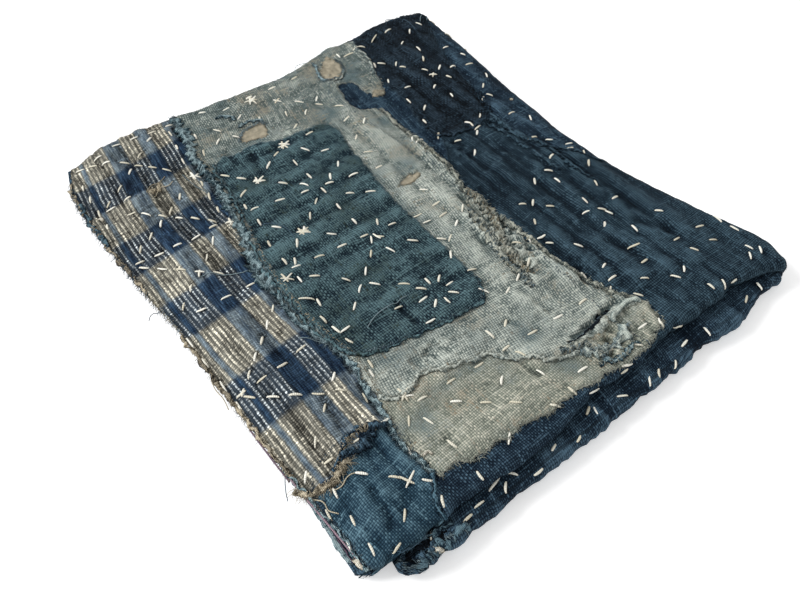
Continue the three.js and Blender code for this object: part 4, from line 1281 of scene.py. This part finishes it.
def loose(name, curves, width, surface):
    """Single loose threads on given curves."""
    places = []
    for curve in curves:
        points = np.array(curve, float)
        for _ in range(2):
            points = np.concatenate((points[:1], cut_corners(points[:-1], points[1:]), points[-1:]))
        places.append(np.stack(sighted(*spaced(points, LOOSE_POINTS).T, LOOSE_LIFT), 1))
    places = np.array(places)
    share = np.linspace(0, 1, LOOSE_POINTS)
    lifts = np.broadcast_to(LOOSE_LIFT * np.sin(share * math.pi) ** 0.5 - 0.1, places.shape[:2])
    widths = np.full(places.shape[:2], width)
    return make_tubes(name, places, lifts, widths, LOOSE_FLAT, surface, LOOSE_SIDES, LOOSE_SEED)


# Materials

class Shade:
    """One material and the nodes that it is made of."""

    def __init__(self, name, roughness=0.95):
        self.material = bpy.data.materials.new(name)
        self.material.use_nodes = True
        self.tree = self.material.node_tree
        self.shader = self.tree.nodes["Principled BSDF"]
        self.shader.inputs["Roughness"].default_value = roughness
        self.shader.inputs["Specular IOR Level"].default_value = 0.1

    def node(self, kind, **settings):
        node = self.tree.nodes.new("ShaderNode" + kind)
        for key, value in settings.items():
            setattr(node, key, value)
        return node

    def put(self, socket, value):
        if isinstance(value, bpy.types.NodeSocket):
            self.tree.links.new(value, socket)
        else:
            socket.default_value = value

    def math(self, operation, *values):
        node = self.node("Math", operation=operation)
        for socket, value in zip(node.inputs, values):
            self.put(socket, value)
        return node.outputs[0]

    def times(self, a, b):
        return self.math("MULTIPLY", a, b)

    def plus(self, a, b):
        return self.math("ADD", a, b)

    def minus(self, a, b):
        return self.math("SUBTRACT", a, b)

    def times_plus(self, a, b, c):
        return self.math("MULTIPLY_ADD", a, b, c)

    def limited(self, value, low, high):
        return self.math("MINIMUM", self.math("MAXIMUM", value, low), high)

    def summed(self, level, terms):
        """A level raised by how far each value is over its centre, times its weight."""
        for value, centre, weight in terms:
            level = self.times_plus(self.minus(value, centre), weight, level)
        return level

    def mixed(self, share, a, b):
        """A colour between a and b."""
        node = self.node("Mix", data_type="RGBA", clamp_factor=True)
        for index, value in ((0, share), (6, a), (7, b)):
            self.put(node.inputs[index], value)
        return node.outputs[2]

    def blend(self, share, colours):
        """A colour between two display colours."""
        return self.mixed(share, *(linear(*colour) for colour in colours))

    def value(self, name):
        """Value given to the points."""
        return self.node("Attribute", attribute_name=name).outputs["Fac"]

    def uv(self):
        return self.node("UVMap", uv_map="cloth").outputs[0]

    def axes(self, vector):
        node = self.node("SeparateXYZ")
        self.put(node.inputs[0], vector)
        return node.outputs[0], node.outputs[1]

    def joined(self, x, y):
        node = self.node("CombineXYZ")
        self.put(node.inputs[0], x)
        self.put(node.inputs[1], y)
        return node.outputs[0]

    def random(self, x, y=0.0):
        node = self.node("TexWhiteNoise", noise_dimensions="2D")
        self.put(node.inputs["Vector"], self.joined(x, y))
        return node.outputs["Value"]

    def clouds(self, vector, scale, detail=3.0):
        node = self.node("TexNoise", noise_dimensions="2D")
        self.put(node.inputs["Vector"], vector)
        node.inputs["Scale"].default_value = scale
        node.inputs["Detail"].default_value = detail
        return node.outputs[0]

    def ramp(self, value, stops):
        """Level of a value between stops of place and level."""
        node = self.node("ValToRGB")
        while len(node.color_ramp.elements) < len(stops):
            node.color_ramp.elements.new(1.0)
        for element, (place, level) in zip(node.color_ramp.elements, stops):
            element.position = place
            element.color = (level, level, level, 1)
        self.put(node.inputs[0], value)
        return node.outputs[0]

    def scaled(self, colour, factor):
        node = self.node("VectorMath", operation="SCALE")
        self.put(node.inputs[0], colour)
        self.put(node.inputs["Scale"], factor)
        return node.outputs[0]

    def bump(self, height, distance):
        node = self.node("Bump")
        node.inputs["Distance"].default_value = distance
        node.inputs["Strength"].default_value = 1.0
        self.put(node.inputs["Height"], height)
        self.tree.links.new(node.outputs[0], self.shader.inputs["Normal"])


def linear(red, green, blue):
    """Colour from its 8-bit display values."""
    return tuple((c / 255 / 12.92 if c < 10.3 else ((c / 255 + 0.055) / 1.055) ** 2.4)
                 for c in (red, green, blue)) + (1.0,)


# The plain weave: how its threads waver, in threads, how round they are and how high they cross.
WAVER = (50.0, 1.5)
WAVER_X = 3.0
WAVER_Y = -2.4
THREAD_ROUND = 0.55
CROSSING = 1.8
WEAVE_DEPTH = 0.4 * MM
# Brightness of its threads: how slowly it changes along one and how it differs between neighbours, the
# share of plain threads, where thick places start, and the gains of thick places, threads, crossings and
# rare threads.
TONE_RUN = 0.13
WARP_STEP = 7.31
WEFT_STEP = 5.17
PLAIN_SHARE = 0.86
SLUB_START = 0.6
SLUB_GAIN = 6.0
THREAD_GAIN = 2.4
CROSSING_GAIN = 0.7
RARE_GAIN = 1.2


def woven(shade, pitch):
    """Height of a plain weave, brightness of its threads around 0, and 1 where a warp thread is on top."""
    x, y = shade.axes(shade.uv())
    waver = shade.clouds(shade.uv(), *WAVER)
    x = shade.plus(shade.math("DIVIDE", x, pitch), shade.times(waver, WAVER_X))
    y = shade.plus(shade.math("DIVIDE", y, pitch), shade.times(waver, WAVER_Y))
    column, row = shade.math("FLOOR", x), shade.math("FLOOR", y)
    across = shade.math("SINE", shade.times(shade.math("FRACT", x), math.pi))
    along_warp = shade.math("SINE", shade.times(shade.math("FRACT", y), math.pi))
    over = shade.math("FRACT", shade.times(shade.plus(column, row), 0.5))
    swing = shade.times(shade.times(across, along_warp), shade.times(shade.minus(over, 0.25), CROSSING))
    warp = shade.plus(shade.times(across, THREAD_ROUND), swing)
    weft = shade.minus(shade.times(along_warp, THREAD_ROUND), swing)
    height = shade.math("MAXIMUM", warp, weft)
    on_warp = shade.math("GREATER_THAN", warp, weft)
    warp_tone = shade.clouds(shade.joined(shade.times(column, WARP_STEP), shade.times(y, TONE_RUN)), 1.0)
    weft_tone = shade.clouds(shade.joined(shade.times(x, TONE_RUN), shade.times(row, WEFT_STEP)), 1.0)
    thread = shade.node("Mix")
    for index, value in ((0, on_warp), (2, weft_tone), (3, warp_tone)):
        shade.put(thread.inputs[index], value)
    cell = shade.minus(shade.random(column, row), 0.5)
    rare_warp, rare_weft = (
        shade.times(shade.math("GREATER_THAN", shade.random(line, other), PLAIN_SHARE), line_tone)
        for line, other, line_tone in ((column, 3.7, warp_tone), (row, 8.1, weft_tone)))
    rare = shade.times_plus(shade.minus(rare_warp, rare_weft), on_warp, rare_weft)
    thick = shade.math("MAXIMUM", shade.minus(thread.outputs[0], SLUB_START), 0.0)
    slub = shade.times(thick, SLUB_GAIN)
    tone = shade.times_plus(shade.minus(thread.outputs[0], 0.5), THREAD_GAIN, slub)
    tone = shade.times_plus(cell, CROSSING_GAIN, tone)
    tone = shade.times_plus(rare, RARE_GAIN, tone)
    return height, tone, on_warp


# Stains on a cloth: shift of each kind, scale and detail, and how sharp, threaded and strong they are.
STAIN_SHIFT = (0.7, 0.3)
STAIN_CLOUDS = (42.0, 8.0)
STAIN_SHARP = 4.0
STAIN_THREADED = 0.8
STAIN_STRENGTH = 0.6


def cloth_material(name, cloth):
    """Woven cotton: painted shade between threads and in hollows, and lighter on the tops of threads (wear
    and painted highlight) and of folds (painted highlight).

    Each term lightens it by its value over a level one, times a weight.
    """
    dark, middle, light = (linear(*colour) for colour in cloth[:3])
    mottle, slub, warp_light, stains, pitch, front_light = cloth[3:]
    shade = Shade(name)
    height, tone, on_warp = woven(shade, pitch * MM)
    # The weave's height paints shade between threads and lightens their tops; the relief's value paints shade
    # in hollows and highlight on the tops of folds; worn edges are lighter.
    terms = (
        (height, 0.5, 0.54), (tone, 0.1, slub), (on_warp, 0.5, warp_light),
        (shade.clouds(shade.uv(), 30.0, 4.0), 0.5, mottle * 2.4),
        (shade.clouds(shade.uv(), 150.0, 3.0), 0.5, mottle * 0.8),
        (shade.value("painted_shading"), 0.5, 0.7), (shade.value("worn"), 0.0, 0.25),
    )
    # Painted light: the cloth is made lighter towards the front.
    if front_light:
        _, forward = shade.axes(shade.uv())
        nearness = shade.node("MapRange", interpolation_type="SMOOTHSTEP")
        for index, value in enumerate((forward, front_light[0], front_light[1], 0.0, front_light[2])):
            shade.put(nearness.inputs[index], value)
        terms += ((nearness.outputs[0], 0.0, 1.0),)
    level = shade.summed(0.5, terms)
    colour = shade.mixed(shade.times(level, 2.0), dark, middle)
    colour = shade.mixed(shade.times_plus(level, 2.0, -1.0), colour, light)
    for k, (stain, start) in enumerate(stains):
        shifted = shade.node("VectorMath", operation="ADD")
        shade.put(shifted.inputs[0], shade.uv())
        shifted.inputs[1].default_value = (STAIN_SHIFT[0] * k, STAIN_SHIFT[1] * k, 0)
        patchy = shade.minus(shade.clouds(shifted.outputs[0], *STAIN_CLOUDS), start)
        patchy = shade.times_plus(patchy, STAIN_SHARP, shade.times(tone, STAIN_THREADED))
        colour = shade.mixed(shade.times(patchy, STAIN_STRENGTH), colour, linear(*stain))
    shade.put(shade.shader.inputs["Base Color"], colour)
    shade.bump(height, WEAVE_DEPTH)
    return shade.material


# Pinstripe groups across the striped cloth and its pale bands along it, in plan millimetres.
STRIPE_GROUPS = ((-7.8, -0.6), (1.8, 16.2), (25.8, 35.4), (42.6, 52.2))
STRIPE_BANDS = ((42, 76), (106, 138), (163.5, 188), (213, 240), (264, 296))
STRIPE_PITCH = 2.4
STRIPE_FIRST = 3.0
STRIPE_DASH = 1.7
# Low end and span of the ramps that draw them, and their soft edges.
GROUP_RAMP = (-20.0, 80.0, 0.4)
BAND_RAMP = (0.0, 300.0, 0.8)
# How the striped cloth gets lighter towards the front: distance from it in metres and share.
STRIPE_FRONT_RAMP = ((0.09, 1.0), (0.22, 0.0))
STRIPE_LIGHTER = 0.32
# Clouds that the cloth is charted with: scale and detail. Then how far the stripes wander and their edges
# fray, how much more the bands do, and how the bands slope.
STRIPE_CLOUDS = {"wander": (26.0, 3.0), "fuzz": (520.0, 3.0), "worn": (90.0, 8.0), "mottled": (40.0, 4.0)}
STRIPE_WANDER = 2.2
STRIPE_FUZZ = 1.1
BAND_FUZZ = 1.8
BAND_SLOPE = -0.1
BAND_SHIFT = 2.0
# Display colours: darkest and lightest of the ground and of its pale bands; then, out of and in a pale
# band, of the ground between the pinstripes and of the pinstripes.
STRIPE_DARK = ((13, 26, 43), (44, 63, 82))
STRIPE_PALE = ((62, 75, 87), (106, 117, 122))
STRIPE_BETWEEN = ((42, 50, 58), (92, 91, 84))
STRIPE_LIGHT = ((176, 183, 184), (196, 191, 174))
STRIPE_DARKEST = 0.16
STRIPED_THREADS = 1.15 * MM
# Pinstripes: how wide they are and how much wider in a band, how far the dashes of the next one are shifted,
# how deep the gaps are by the band and everywhere, and how worn and how broken by threads they are.
PIN_WIDE = 1.2
PIN_WIDER = 0.3
DASH_SHIFT = 2.6
DASH_GAPS = (-0.3, 0.85)
STRIPE_WEAR = (2.4, -0.4)
PIN_THREADS = (0.6, 0.8, 0.35)
# Streaks of the ground: how fast they change across and along the cloth, detail and strength.
STREAK_ACROSS = 0.9
STREAK_ALONG = 0.07
STREAK_DETAIL = 5.0
STREAK_GAIN = 3.0
# Loose threads: length of the twist along and round one, its contrast, the least level and the depth of it.
TWIST = 0.9 * MM
TWIST_ROUND = 4 * MM
TWIST_CONTRAST = 0.18
TWIST_LEVEL = 0.1
TWIST_DEPTH = 0.08 * MM


def thread_material(name, dark, light):
    """Loose cotton thread with a soft twist."""
    shade = Shade(name)
    x, y = shade.axes(shade.uv())
    turn = shade.plus(shade.math("DIVIDE", x, TWIST), shade.math("DIVIDE", y, TWIST_ROUND))
    strand = shade.math("SINE", shade.times(turn, 2 * math.pi))
    level = shade.plus(shade.times(strand, TWIST_CONTRAST), shade.plus(shade.value("tint"), TWIST_LEVEL))
    shade.put(shade.shader.inputs["Base Color"], shade.blend(level, (dark, light)))
    shade.bump(strand, TWIST_DEPTH)
    return shade.material


def bars(shade, place, ranges, low_end, span, soft):
    """1 inside the ranges of a place and 0 outside them."""
    stops = [(0.0, 0.0)]
    for low, high in ranges:
        for edge, level in ((low - soft, 0), (low + soft, 1), (high - soft, 1), (high + soft, 0)):
            stops.append(((edge - low_end) / span, level))
    return shade.ramp(shade.math("DIVIDE", shade.minus(place, low_end), span), stops)


def striped_material():
    """Hand-woven blue-black cotton with groups of dashed beige pinstripes and pale bands across them."""
    shade = Shade("striped_cotton")
    height, tone, _ = woven(shade, STRIPED_THREADS)
    x, y = shade.axes(shade.node("UVMap", uv_map="stripes").outputs[0])
    wander = shade.minus(shade.clouds(shade.uv(), *STRIPE_CLOUDS["wander"]), 0.5)
    fuzz = shade.minus(shade.clouds(shade.uv(), *STRIPE_CLOUDS["fuzz"]), 0.5)
    drift = shade.plus(shade.times(wander, STRIPE_WANDER), shade.times(fuzz, STRIPE_FUZZ))
    across = shade.times_plus(x, 1 / MM, drift)
    up = shade.times_plus(y, 1 / MM, shade.times(drift, BAND_FUZZ))
    up = shade.times_plus(across, BAND_SLOPE, shade.plus(up, BAND_SHIFT))
    group = bars(shade, across, STRIPE_GROUPS, *GROUP_RAMP)
    band = bars(shade, up, STRIPE_BANDS, *BAND_RAMP)
    turn = shade.times(shade.minus(across, STRIPE_FIRST), 2 * math.pi / STRIPE_PITCH)
    pin = shade.times_plus(shade.math("COSINE", turn), PIN_WIDE, shade.times(band, PIN_WIDER))
    pin = shade.limited(pin, 0.0, 1.0)
    from_first = shade.minus(across, STRIPE_FIRST - STRIPE_PITCH / 2)
    number = shade.math("FLOOR", shade.math("DIVIDE", from_first, STRIPE_PITCH))
    dash = shade.times_plus(up, 2 * math.pi / STRIPE_DASH, shade.times(number, DASH_SHIFT))
    dash = shade.times_plus(shade.math("SINE", dash), 0.5, 0.5)
    gaps = shade.times(shade.minus(1.0, dash), shade.times_plus(band, *DASH_GAPS))
    worn = shade.times_plus(shade.clouds(shade.uv(), *STRIPE_CLOUDS["worn"]), *STRIPE_WEAR)
    line = shade.times(shade.times(shade.times(pin, group), shade.minus(1.0, gaps)), worn)
    streak_place = shade.joined(shade.times(across, STREAK_ACROSS), shade.times(up, STREAK_ALONG))
    streak = shade.clouds(streak_place, 1.0, STREAK_DETAIL)
    streak = shade.times_plus(shade.minus(streak, 0.5), STREAK_GAIN, 0.5)
    ground = shade.mixed(band, shade.blend(streak, STRIPE_DARK), shade.blend(streak, STRIPE_PALE))
    ground = shade.mixed(group, ground, shade.blend(band, STRIPE_BETWEEN))
    light = shade.blend(band, STRIPE_LIGHT)
    of_tone, of_height, least = PIN_THREADS
    broken = shade.times_plus(tone, of_tone, shade.times_plus(height, of_height, least))
    colour = shade.mixed(shade.times(line, shade.limited(broken, 0.1, 1.0)), ground, light)
    # Brightness: lighter towards the front, painted shade between threads and in hollows, thread tops lighter
    # as wear and painted highlight, painted highlight on folds, and thread tone and mottling.
    level = shade.summed(1.0, (
        (shade.ramp(y, STRIPE_FRONT_RAMP), 0.0, STRIPE_LIGHTER), (height, 0.5, 1.1), (tone, 0.1, 0.7),
        (shade.value("painted_shading"), 0.5, 2.1),
        (shade.clouds(shade.uv(), *STRIPE_CLOUDS["mottled"]), 0.5, 1.2), (fuzz, 0.0, 0.5)))
    level = shade.math("MAXIMUM", level, STRIPE_DARKEST)
    shade.put(shade.shader.inputs["Base Color"], shade.scaled(colour, level))
    shade.bump(height, WEAVE_DEPTH)
    return shade.material


# The lining: display colours, clouds, their gain and level, how much darker its edge is, and its bump.
LINING = ((118, 114, 100), (186, 176, 154))
LINING_CLOUDS = (260.0, 8.0)
LINING_LEVEL = (1.6, -0.3)
LINING_EDGE = -0.15
LINING_BUMPS = 900.0
LINING_DEPTH = 0.05 * MM


def lining_material():
    """Smooth beige lining cloth that shows through holes."""
    shade = Shade("beige_lining")
    level = shade.times_plus(shade.clouds(shade.uv(), *LINING_CLOUDS), *LINING_LEVEL)
    level = shade.plus(level, shade.times(shade.value("worn"), LINING_EDGE))
    shade.put(shade.shader.inputs["Base Color"], shade.blend(level, LINING))
    shade.bump(shade.clouds(shade.uv(), LINING_BUMPS), LINING_DEPTH)
    return shade.material


# Cloths: darkest, middle and lightest display colours; mottling, thick threads, how much lighter the warp
# is; stains with the level that they start at; the pitch of the threads in mm; and the painted light that
# makes the cloth lighter along y towards the front, from one place to another in metres, and by how much.
CLOTHS = {
    "navy": ((6, 12, 19), (22, 37, 51), (82, 108, 126), 0.12, 0.24, 0.1, (), 1.05, ()),
    "panel": ((6, 12, 18), (18, 32, 43), (74, 98, 112), 0.09, 0.17, 0.06, (), 1.15, (0.12, 0.03, 0.1)),
    "scrap": ((7, 14, 25), (19, 34, 49), (78, 104, 122), 0.16, 0.26, 0.1, (), 1.15, ()),
    "black": ((3, 7, 10), (9, 18, 26), (58, 76, 90), 0.16, 0.3, 0.12, (((18, 30, 40), 0.58),), 1.2, ()),
    "corner": ((9, 22, 33), (38, 63, 79), (100, 131, 145), 0.12, 0.24, 0.12, (), 1.0, ()),
    "coarse": ((60, 66, 62), (137, 143, 131), (220, 217, 200), 0.12, 0.32, 0.1,
               (((98, 118, 122), 0.58), ((150, 138, 116), 0.6)), 1.08, ()),
    "pale": ((46, 58, 60), (92, 104, 102), (202, 208, 198), 0.14, 0.31, 0.1,
             (((74, 98, 106), 0.54), ((142, 134, 116), 0.57)), 1.2, (0.26, 0.2, 0.18)),
    "centre": ((9, 18, 24), (23, 38, 48), (100, 128, 134), 0.12, 0.32, 0.1, (((48, 60, 56), 0.56),), 1.2,
               (0.26, 0.2, 0.12)),
    "gathered": ((22, 29, 32), (86, 96, 94), (200, 202, 188), 0.3, 0.45, 0.1, (((112, 104, 84), 0.56),),
                 0.8, ()),
    "frayed_blue": ((12, 24, 34), (62, 88, 98), (168, 190, 194), 0.4, 0.5, 0.2, (), 0.6, ()),
    "frayed_navy": ((5, 11, 18), (32, 52, 66), (110, 138, 150), 0.4, 0.5, 0.2, (), 0.6, ()),
    "frayed_beige": ((26, 24, 24), (126, 116, 98), (220, 208, 182), 0.5, 0.5, 0.2,
                     (((34, 46, 60), 0.52),), 0.6, ()),
    "tuft": ((110, 104, 92), (206, 198, 180), (250, 246, 232), 0.3, 0.3, 0.2, (), 0.6, ()),
    "tongue": ((58, 70, 72), (134, 148, 146), (210, 218, 208), 0.12, 0.3, 0.1, (), 0.8, ()),
    # Painted shadow, not a cloth: near-black strips laid in the slit and in the hollow of the lower front
    # fold.
    "deep": ((2, 3, 5), (6, 10, 15), (24, 32, 40), 0.2, 0.3, 0.1, (), 0.9, ()),
}
# Threads: dark and light display colours.
THREADS = {
    "stitch": ((214, 207, 184), (255, 253, 242)), "blue_grey": ((58, 78, 88), (140, 158, 164)),
    "grey": ((80, 88, 84), (180, 184, 172)), "beige": ((96, 90, 78), (200, 190, 166)),
    "blue": ((22, 36, 50), (76, 98, 114)), "rose": ((72, 58, 78), (158, 136, 146)),
}
MATERIALS = {name: cloth_material(name + "_cotton", cloth) for name, cloth in CLOTHS.items()}
MATERIALS["striped"] = striped_material()
MATERIALS["lining"] = lining_material()
for thread, colours in THREADS.items():
    MATERIALS[thread] = thread_material(thread + "_thread", *colours)


def finished(piece, cloth):
    """A piece with its material."""
    piece.data.materials.append(MATERIALS[cloth])
    return piece


# First seeds of the random draws for each kind of piece.
SEEDS = {"cut": 200, "fuzz": 300, "roll": 400, "hairs": 430, "curl": 460, "tuft": 480, "curl_hairs": 500,
         "hidden": 520, "hidden_hairs": 523}
# Threads that fray from each patch's cloth.
FUZZ = {"panel": "blue", "scrap": "blue", "black": "blue", "corner": "blue", "striped": "beige",
        "coarse": "grey", "pale": "grey", "lining": "beige", "centre": "blue_grey"}
# Rounds of blurring at a patch's edge, steps along lines as read, and how far stitches below are pressed in.
COVER_ROUNDS = 3
LINE_STEP = 1.5
SHORT_LINE_STEP = 0.8
PRESSED = -0.3

ENDS = stitch_ends()
RELIEF = make_relief(ENDS)
RELIEF_SHADING = hollows(RELIEF)
lift_map = np.zeros_like(GRID_A)


def surface(a, b):
    """Height of the topmost layer over the plain sheet."""
    return sampled(RELIEF, a, b) + sampled(lift_map, a, b)


def bare(a, b):
    return np.zeros(np.shape(a))


def pressed(a, b):
    """Depth to which the stack's weight presses the stitches that it lies on into the cloth."""
    return np.full(np.shape(a), PRESSED)


def add(piece, cloth):
    finished(piece, cloth)


body = finished(make_body(RELIEF, RELIEF_SHADING), "navy")
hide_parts(NODE)

outlines = {}
for k, (name, outline, thickness, ragged, cloth, turn) in enumerate(PATCHES):
    cut = cut_outline(outline, ragged, SEEDS["cut"] + 10 * k)
    outlines[name] = cut
    piece, size, area = make_patch(name, cut, thickness, lift_map, RELIEF, RELIEF_SHADING, turn)
    finished(piece, cloth)
    cover = np.clip(2 * blurred(inside(cut, GRID_A, GRID_B) * 1.0, COVER_ROUNDS), 0, 1)
    lift_map += cover * (thickness + PATCH_CLEAR)


def random_ends(seed, count, low, high):
    """Ends of stitches scattered over a field, mostly in rows, in the field's own measures."""
    rng = np.random.default_rng(seed)
    middle = rng.uniform(low, high, (count, 2))
    angles = rng.choice((0, 45, -45, 85), count) + rng.normal(0, 9, count)
    half = halves(angles, STITCH_LENGTH) * rng.uniform(0.8, 1.15, (count, 1))
    return np.stack((middle - half, middle + half), 1)


add(stitch_tubes("stitches", ENDS, surface), "stitch")
marks = np.array(LOWER_STITCHES, float)
half = halves(marks[:, 2], marks[:, 3:])
lower_ends = np.stack([sighted_on_lower_front(*(marks[:, :2] + side * half).T) for side in (-1, 1)], 1)
add(stitch_tubes("lower_stitches", lower_ends, bare, on_lower_front), "stitch")
spine_ends = random_ends(61, 34, (243.0, 4.0), (254.0, 276.0))
add(stitch_tubes("spine_stitches", spine_ends, surface), "stitch")
under_ends = random_ends(62, 150, (26.0, 4.0), (228.0, 274.0))
add(stitch_tubes("under_stitches", under_ends, pressed, on_underside), "stitch")

for k, (name, _, _, _, cloth, _) in enumerate(PATCHES):
    cut = outlines[name]
    if np.sum(cut[:, 0] * np.roll(cut[:, 1], -1) - cut[:, 1] * np.roll(cut[:, 0], -1)) < 0:
        cut = cut[::-1]
    line = np.vstack((cut, cut[:1]))
    fuzz = fringe(name + "_fuzz", line, spacing=0.8, length=1.7, width=0.34, surface=surface,
                  seed=SEEDS["fuzz"] + k, lift=0.05, rise=0.3, spread=0.9, rings=4)
    add(fuzz, FUZZ[cloth])


def read_line(line, step):
    """Cloth places along a line read on the reading plane."""
    return np.stack(sighted(*resampled(line, step, closed=False).T), 1)


for k, (name, cloth, thread, width, height, spacing, length, line) in enumerate(FRAYED_EDGES):
    places = read_line(line, LINE_STEP)
    if width:
        add(strip(name + "_roll", places, width, height, surface, SEEDS["roll"] + k), cloth)
    hairs = fringe(name + "_hairs", places, spacing, length, width=0.36, surface=surface,
                   seed=SEEDS["hairs"] + k, lift=0.3, rise=height + 0.4, spread=0.75)
    add(hairs, thread)

for k, (name, line, cloth, width, height, crumple) in enumerate(TUFTS):
    places = read_line(line, SHORT_LINE_STEP)
    add(strip(name, places, width, height, surface, SEEDS["tuft"] + k, crumple=crumple), cloth)

for k, (name, line, cloth, thread, width, height) in enumerate(LOWER_CURLS):
    places = sighted_on_lower_front(*resampled(line, SHORT_LINE_STEP, closed=False).T)
    add(strip(name, places, width, height, bare, SEEDS["curl"] + k, on_lower_front), cloth)
    if thread:
        hairs = fringe(name + "_hairs", places, spacing=0.35, length=2.6, width=0.34, surface=bare,
                       seed=SEEDS["curl_hairs"] + k, lift=0.4, rise=height, spread=1.4, where=on_lower_front)
        add(hairs, thread)

for k, (name, inset, cloth, width, height) in enumerate(HIDDEN_EDGES):
    line = ((inset, 62.0), (inset, 3.0))
    add(strip(name, line, width, height, bare, SEEDS["hidden"] + k, on_hidden_edge, crumple=0.5), cloth)
edge_hairs = fringe("hidden_edge_hairs", ((0.6, 66.0), (0.6, 3.0)), spacing=0.5, length=1.6, width=0.32,
                    surface=bare, seed=SEEDS["hidden_hairs"], where=on_hidden_edge)
add(edge_hairs, "blue_grey")

# Hairs along the raw edges at the back and on the left: line, thread, length and seed.
back = np.arange(STACK_WIDTH - 4, 2, -2.0)
back_line = np.stack((back, along(BACK_EDGE, back) - 0.4), 1)
left = np.arange(STACK_DEPTH - 3, 4, -2.0)
left_line = np.stack((along(LEFT_EDGE, left) + 0.4, left), 1)
for name, line, thread, length, seed in (
        ("back_hairs", back_line, "blue", 2.0, 471), ("back_pale_hairs", back_line[25:92], "grey", 1.6, 472),
        ("left_hairs", left_line, "beige", 2.0, 473), ("left_blue_hairs", left_line, "blue", 2.4, 474)):
    hairs = fringe(name, line, spacing=0.6, length=length, width=0.34, surface=surface, seed=seed, lift=-0.9,
                   rise=0.9, spread=0.7)
    add(hairs, thread)

for name, curves, thread, width in LOOSE_THREADS:
    add(loose(name, curves, width, surface), thread)


# Floor, light and camera

FLOOR_DROP = -0.4 * MM
FLOOR_REACH = 4.0
FLOOR_GREY = 0.9
FLOOR_GLOW = 0.38
SKY_LIGHT = 0.62
# The key light: place, size and power.
KEY_LIGHT = ((-2.0, 1.9, 2.1), 1.5, 96.0)
floor_mesh = bpy.data.meshes.new("floor")
corners = [(x * FLOOR_REACH, y * FLOOR_REACH, FLOOR_DROP) for x, y in ((-1, -1), (1, -1), (1, 1), (-1, 1))]
floor_mesh.from_pydata(corners, [], [(0, 1, 2, 3)])
floor = bpy.data.objects.new("floor", floor_mesh)
floor_shade = Shade("floor_white", 0.9)
floor_shade.shader.inputs["Base Color"].default_value = (FLOOR_GREY,) * 3 + (1,)
floor_shade.shader.inputs["Emission Color"].default_value = (1, 1, 1, 1)
floor_shade.shader.inputs["Emission Strength"].default_value = FLOOR_GLOW
floor_mesh.materials.append(floor_shade.material)
bpy.context.scene.collection.objects.link(floor)

world = bpy.data.worlds.new("studio")
world.use_nodes = True
world.node_tree.nodes["Background"].inputs["Color"].default_value = (1.0, 1.0, 1.0, 1)
world.node_tree.nodes["Background"].inputs["Strength"].default_value = SKY_LIGHT
bpy.context.scene.world = world


def add_light(name, place, size, energy):
    data = bpy.data.lights.new(name, "AREA")
    data.size = size
    data.energy = energy
    light = bpy.data.objects.new(name, data)
    light.location = place
    light.rotation_euler = (-Vector(place)).to_track_quat("-Z", "Y").to_euler()
    bpy.context.scene.collection.objects.link(light)


add_light("key_light", *KEY_LIGHT)

heading, pitch, roll = (math.radians(angle) for angle in (HEADING, PITCH, ROLL))
forward = Vector((math.sin(heading) * math.cos(pitch), math.cos(heading) * math.cos(pitch), math.sin(pitch)))
level = Vector((math.cos(heading), -math.sin(heading), 0))
upright = level.cross(forward)
right = level * math.cos(roll) + upright * math.sin(roll)
up = right.cross(forward)
camera_data = bpy.data.cameras.new("camera")
camera_data.lens = LENS
camera_data.sensor_width = SENSOR
camera_data.clip_start = 0.01
camera = bpy.data.objects.new("camera", camera_data)
camera.matrix_world = Matrix((right, up, -forward)).transposed().to_4x4()
camera.location = framed(EYE)
bpy.context.scene.collection.objects.link(camera)
bpy.context.scene.camera = camera
bpy.context.scene.view_settings.view_transform = "Standard"
